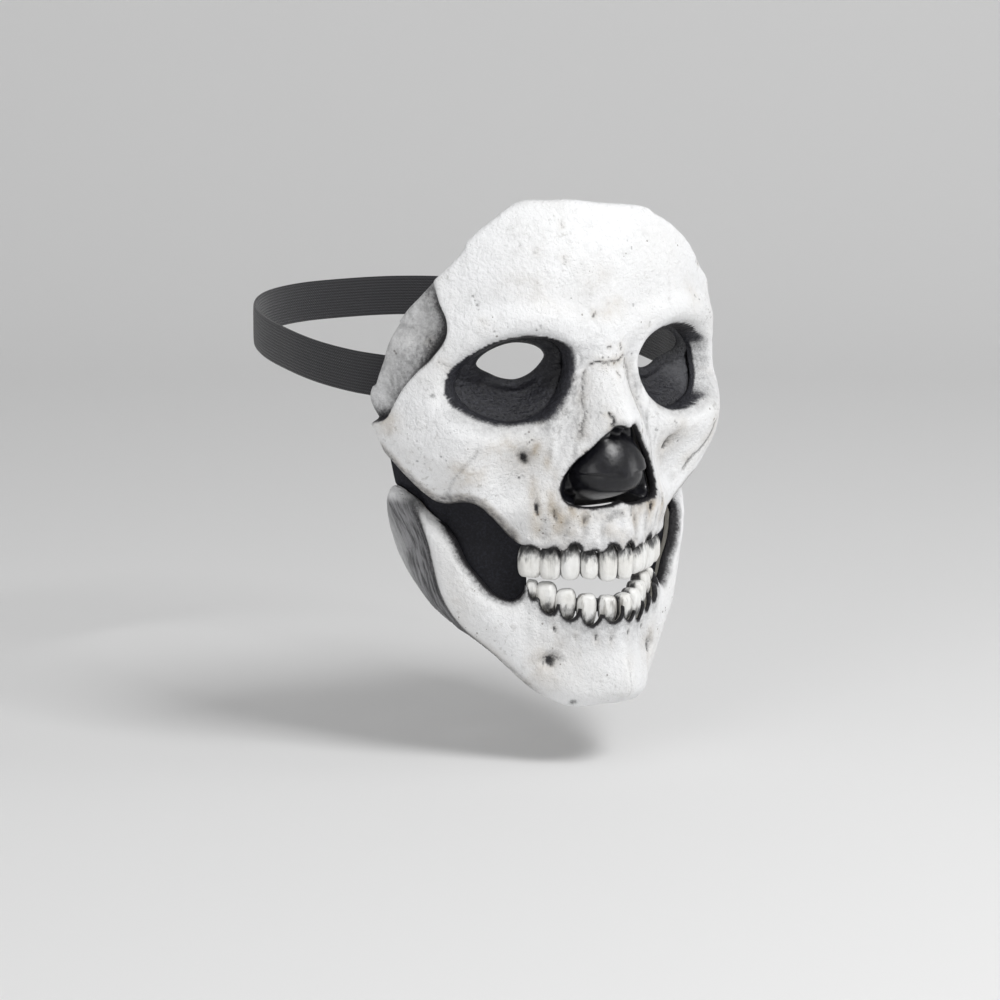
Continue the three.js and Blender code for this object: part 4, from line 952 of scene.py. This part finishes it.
def bar(tab, z_top, z_low, n=60, m=8):
    """rounded bar behind the crowns"""
    ends = tab[-1][0] + 1.2
    deg = np.linspace(-ends, ends, n)
    beh = np.interp(np.abs(deg), [t[0] for t in tab], [t[4] for t in tab])
    P = []
    zc, hz, hd = (z_top + z_low) / 2, (z_top - z_low) / 2, 1.3
    for d, b in zip(deg, beh):
        for k in range(m * 2):
            a = 2 * math.pi * k / (m * 2)
            zz = zc + hz * math.copysign(abs(math.sin(a)) ** .5, math.sin(a))
            rr = form_radius(np.array([d * U]), np.array([zz]))[0] - b - TOOTH_D - .6 - hd + hd * math.copysign(abs(math.cos(a)) ** .5, math.cos(a))
            P.append(place(np.array(d * U), np.array(zz), np.array(rr)))
    P = np.array(P)
    M = m * 2
    Q = [(i * M + k, i * M + (k + 1) % M, (i + 1) * M + (k + 1) % M, (i + 1) * M + k) for i in range(n - 1) for k in range(M)]
    T = []
    for i, flip in ((0, 1), (n - 1, 0)):
        c = len(P)
        P = np.vstack([P, P[i * M:(i + 1) * M].mean(0)])
        for k in range(M):
            t = (i * M + k, i * M + (k + 1) % M, c)
            T.append(t[::-1] if flip else t)
    return P, np.array(T), np.array(Q), np.full(len(P), .9), np.full(len(P), .6)


for node, tab, lower, zb in (('upper_teeth', UPPER, False, (-68.6, -74.4)), ('lower_teeth', LOWER, True, (-85.8, -90.8))):
    parts, s = [], 5 if lower else 1
    for i, t in enumerate(tab):
        for side in ((1, -1) if t[0] > .01 else (1,)):
            s += 1
            parts.append(crown(t, side, lower, s * 7 + i))
    parts.append(bar(tab, *zb))
    off, PP, TT, QQ, BB, DD = 0, [], [], [], [], []
    for P, T, Q, B, D in parts:
        PP.append(P); TT.append(T + off); QQ.append(Q + off); BB.append(B); DD.append(D)
        off += len(P)
    ob = mesh_object(node + '_row', np.concatenate(PP), np.concatenate(TT), np.concatenate(QQ), dict(black=np.concatenate(BB), dirt=np.concatenate(DD)), TOOTH)
    finish_piece(ob, node)


# ------------------------------------------------------------------ dark pieces behind the openings
def behind_shells(u, z):
    return relief(u, z) - np.maximum(skull_roll(u, z, RIM + 1), jaw_roll(u, z, RIM + 1)) - WALL - 0.9


def socket_piece(side):
    def eye_out(u, z):
        c, s = math.cos(math.radians(EYE['tilt'])), math.sin(math.radians(EYE['tilt']))
        du, dz = side * u - EYE['deg'] * U, z - EYE['z']
        a, b = (du * c - dz * s) / EYE['hw'], (du * s + dz * c) / EYE['hh']
        return ((np.abs(a) ** 1.7 + np.abs(b) ** 1.7) ** (1 / 1.7) - 1) * EYE['hh']

    def depth(u, z):
        d = relief(u, z) - skull_roll(u, z, RIM + 1) - WALL - 0.9 - SOCKET_DEPTH * smooth((orbit_in(u, z) + .5) / 10)
        # lid-like fold round the opening and creases in the skin below it
        e = eye_out(u, z)
        d = d + 1.5 * np.exp(-0.5 * ((e - 1.6) / 1.5) ** 2) - .5 * np.exp(-0.5 * ((e - 4.4) / .8) ** 2)
        P = place(u, z, form_radius(u, z))
        wr = np.sin((e + .8 * fractal(P, 6, 52, 2)) * 2 * math.pi / 2.3)
        return d + .16 * wr * smooth((e - 3) / 3) * smooth((4 - z) / 6) + .12 * fractal(P, 2.4, 55, 3)
    phi = lambda u, z: np.minimum(np.minimum(orbit_in(u, z) + 5, eye_out(u, z)), np.minimum(side * u - 9.5, within(SKULL_LINE, u, z) - 2))
    V, T = trimmed(6 if side > 0 else -76, 76 if side > 0 else -6, -30, 24, .75, phi)
    return shell(V, T, lambda u, z: place(u, z, form_radius(u, z) + depth(u, z)), lambda u, z: place(u, z, form_radius(u, z) + depth(u, z) - SKIN), 3, .5)


for side, node in ((-1, 'eye_surround_right'), (1, 'eye_surround_left')):
    P, F, Q, uv, where = socket_piece(side)
    du, dz = uv[:, 0], uv[:, 1]
    n_ = fractal(P, 3, 57, 2)
    # painted shade in the socket: darker towards the top, on the nose side and towards the outer side of the left
    # socket
    deep_shade = np.clip(smooth((dz - 5 + 2 * n_) / 6) + .8 * smooth((25 * U - np.abs(du) + 3 * n_) / 9) * smooth((dz + 14) / 8) + .6 * smooth((du - 44 * U) / 6) * (dz > -2), 0, 1)
    pale = smooth((du - 44 * U + 3 * n_) / 9) * smooth((3 - dz) / 8) * .22
    finish_piece(mesh_object(node + '_dish', P, F, Q, dict(deep_shade=deep_shade, pale=pale), SOCKET), node)

SCOOP = dict(z=-38.5, rise=16, hw=17, up=20, down=12.5, lip=-52.4, tuck=8)


def scoop_depth(u, z):
    base = relief(u, z) - skull_roll(u, z, RIM + 1) - WALL - 0.9
    free = smooth((-41 - z) / 8) * (1 - smooth((np.abs(u) - 12) / 5))
    q = np.maximum(smooth((within(NOSE_LINE, u, z) - .2) / 3.5), free)
    r = np.hypot(u / SCOOP['hw'], (z - SCOOP['z']) / np.where(z > SCOOP['z'], SCOOP['up'], SCOOP['down']))
    rise = SCOOP['rise'] * np.maximum(0, 1 - np.minimum(r, 1) ** 2) ** np.where(z > SCOOP['z'], .5, .8)
    P = place(u, z, form_radius(u, z))
    return base * (1 - q) + (-6.5 + rise - SCOOP['tuck'] * smooth((-44 - z) / 8)) * q + .05 * fractal(P, 2.5, 81, 2)


phi = lambda u, z: np.minimum(within(NOSE_LINE, u, z) + 4, z - SCOOP['lip'] + np.maximum(0, np.abs(u) - 12) * .6)
V, T = trimmed(-28, 28, -56, -14, .6, phi)
P, F, Q, uv, where = shell(V, T, lambda u, z: place(u, z, form_radius(u, z) + scoop_depth(u, z)), lambda u, z: place(u, z, form_radius(u, z) + scoop_depth(u, z) - SKIN - 2 * smooth((-43 - z) / 4)), 4, .7)
finish_piece(mesh_object('nose_cover_scoop', P, F, Q, None, NOSE), 'nose_cover')

for side, node in ((-1, 'cheek_panel_right'), (1, 'cheek_panel_left')):
    def phi(u, z):
        s = side * u
        gap = np.minimum(-within(SKULL_LINE, u, z), -within(JAW_LINE, u, z))
        above = .7 * (z + 50 + .89 * (80 * U - s))
        return np.minimum.reduce([gap + 5, s - 30.5 * U, 78 * U - s, above, -32 - z])
    V, T = trimmed(31 if side > 0 else -94, 94 if side > 0 else -31, -94, -30, 1.0, phi)
    dep = lambda u, z: behind_shells(u, z) + .15 * fractal(place(u, z, form_radius(u, z)), 7, 87, 3)
    P, F, Q, uv, where = shell(V, T, lambda u, z: place(u, z, form_radius(u, z) + dep(u, z)), lambda u, z: place(u, z, form_radius(u, z) + dep(u, z) - SKIN), 3, .4)
    finish_piece(mesh_object(node + '_sheet', P, F, Q, None, CHEEK), node)


# ------------------------------------------------------------------ head band
def band():
    half = [(-x, y, z) for x, y, z in STRAP_PATH]
    pts = np.array(half + [(-x, y, z) for x, y, z in reversed(half[:-1])], float)
    p = np.vstack([2 * pts[0] - pts[1], pts, 2 * pts[-1] - pts[-2]])
    out = []
    for i in range(1, len(p) - 2):
        a, b, c, d = p[i - 1], p[i], p[i + 1], p[i + 2]
        for k in range(12):
            t = k / 12
            out.append(0.5 * (2 * b + (c - a) * t + (2 * a - 5 * b + 4 * c - d) * t * t + (3 * b - a - 3 * c + d) * t**3))
    out.append(p[-2])
    L = np.array(out)
    cum = np.concatenate([[0], np.cumsum(np.linalg.norm(L[1:] - L[:-1], axis=1))])
    tan = np.gradient(L, axis=0)
    tan[:, 2] = 0
    tan /= np.linalg.norm(tan, axis=1, keepdims=True)
    nor = np.stack([-tan[:, 1], tan[:, 0], 0 * tan[:, 0]], -1)
    prof = []
    N = 16
    for k in range(2 * N):
        a = 2 * math.pi * k / (2 * N)
        prof.append((.7 * math.copysign(abs(math.cos(a)) ** .5, math.cos(a)), 7.9 * math.copysign(abs(math.sin(a)) ** .45, math.sin(a))))
    prof = np.array(prof)
    M, n = len(prof), len(L)
    P = (L[:, None] + nor[:, None] * prof[None, :, :1] + np.array([0, 0, 1.0]) * prof[None, :, 1:]).reshape(-1, 3)
    rib = np.tile(prof[:, 1] / 16 + .5, n)
    run = np.repeat(cum, M)
    Q = [(i * M + k, i * M + (k + 1) % M, (i + 1) * M + (k + 1) % M, (i + 1) * M + k) for i in range(n - 1) for k in range(M)]
    T = []
    for i, flip in ((0, 1), (n - 1, 0)):
        c = len(P)
        P = np.vstack([P, P[i * M:(i + 1) * M].mean(0)])
        rib, run = np.append(rib, .5), np.append(run, run[i * M])
        for k in range(M):
            t = (i * M + k, i * M + (k + 1) % M, c)
            T.append(t[::-1] if flip else t)
    return P, T, Q, rib, run


P, T, Q, rib, run = band()
finish_piece(mesh_object('head_strap_band', P, T, Q, dict(rib=rib, run=run), ELASTIC), 'head_strap')

# ------------------------------------------------------------------ camera
AZ, EL, DIST, MM_PX, MID = -33.0, 10.0, 1500.0, .366, Vector((-38.096, 11.585, -48.299))
a, e = math.radians(AZ), math.radians(EL)
back = Vector((math.sin(a) * math.cos(e), -math.cos(a) * math.cos(e), math.sin(e)))
cam = bpy.data.objects.new('camera', bpy.data.cameras.new('camera'))
bpy.context.scene.collection.objects.link(cam)
cam.location = (MID + back * DIST) / 1000
cam.rotation_mode = 'QUATERNION'
cam.rotation_quaternion = (-back).to_track_quat('-Z', 'Y')
cam.data.sensor_width = 36
cam.data.lens = 36 * DIST / (1000 * MM_PX)
cam.data.clip_start, cam.data.clip_end = .05, 30
bpy.context.scene.camera = cam

# ------------------------------------------------------------------ floor and light
FLOOR_Z = -.150


def stage_material(name, colour):
    m, nt, bs = nodes_of(name)
    k = Net(nt)
    nt.links.new(k.mix(k.math('MULTIPLY', k.noise(3, 2), .03), colour, tuple(.97 * x for x in colour)), bs.inputs['Base Color'])
    bs.inputs['Roughness'].default_value = .9
    return m


def sweep():
    """floor that curves up into a backdrop"""
    prof = [(-2.2, 0.0), (1.0, 0.0)]
    for i in range(1, 13):
        t = math.pi / 2 * i / 12
        prof.append((1.0 + .6 * math.sin(t), .6 * (1 - math.cos(t))))
    prof.append((1.6, 2.4))
    d = Vector((-math.sin(a), math.cos(a), 0))           # away from the camera
    r = Vector((math.cos(a), math.sin(a), 0))
    P = []
    for s in (-3.0, 3.0):
        for x, z in prof:
            q = d * x + r * s
            P.append((q.x * 1000, q.y * 1000, (z + FLOOR_Z) * 1000))
    n = len(prof)
    return mesh_object('studio_floor', P, np.zeros((0, 3), int), [(i, i + 1, n + i + 1, n + i) for i in range(n - 1)], None, stage_material('studio_paper', (.84, .84, .84)))


fl = sweep()

w = bpy.data.worlds.new('studio')
bpy.context.scene.world = w
w.use_nodes = True
w.node_tree.nodes['Background'].inputs[0].default_value = (1, 1, 1, 1)
w.node_tree.nodes['Background'].inputs[1].default_value = .40


def softbox(name, az, el, dist, size, power, aim=(0, .01, -.03)):
    ld = bpy.data.lights.new(name, 'AREA')
    ld.shape = 'RECTANGLE'
    ld.size, ld.size_y = size
    ld.energy = power
    lo = bpy.data.objects.new(name, ld)
    bpy.context.scene.collection.objects.link(lo)
    A, E = math.radians(az), math.radians(el)
    lo.location = Vector(aim) + dist * Vector((math.sin(A) * math.cos(E), -math.cos(A) * math.cos(E), math.sin(E)))
    lo.rotation_mode = 'QUATERNION'
    lo.rotation_quaternion = (Vector(aim) - lo.location).to_track_quat('-Z', 'Y')
    return lo


softbox('key', 12, 46, 1.5, (.55, .45), 13.5)
softbox('fill_left', -62, 8, 1.6, (.6, .8), 4.0)
softbox('fill_right', 58, 6, 1.6, (.5, .7), 4.2)

vs = bpy.context.scene.view_settings
vs.view_transform = 'Standard'
vs.look = 'None'
vs.exposure = 0.0
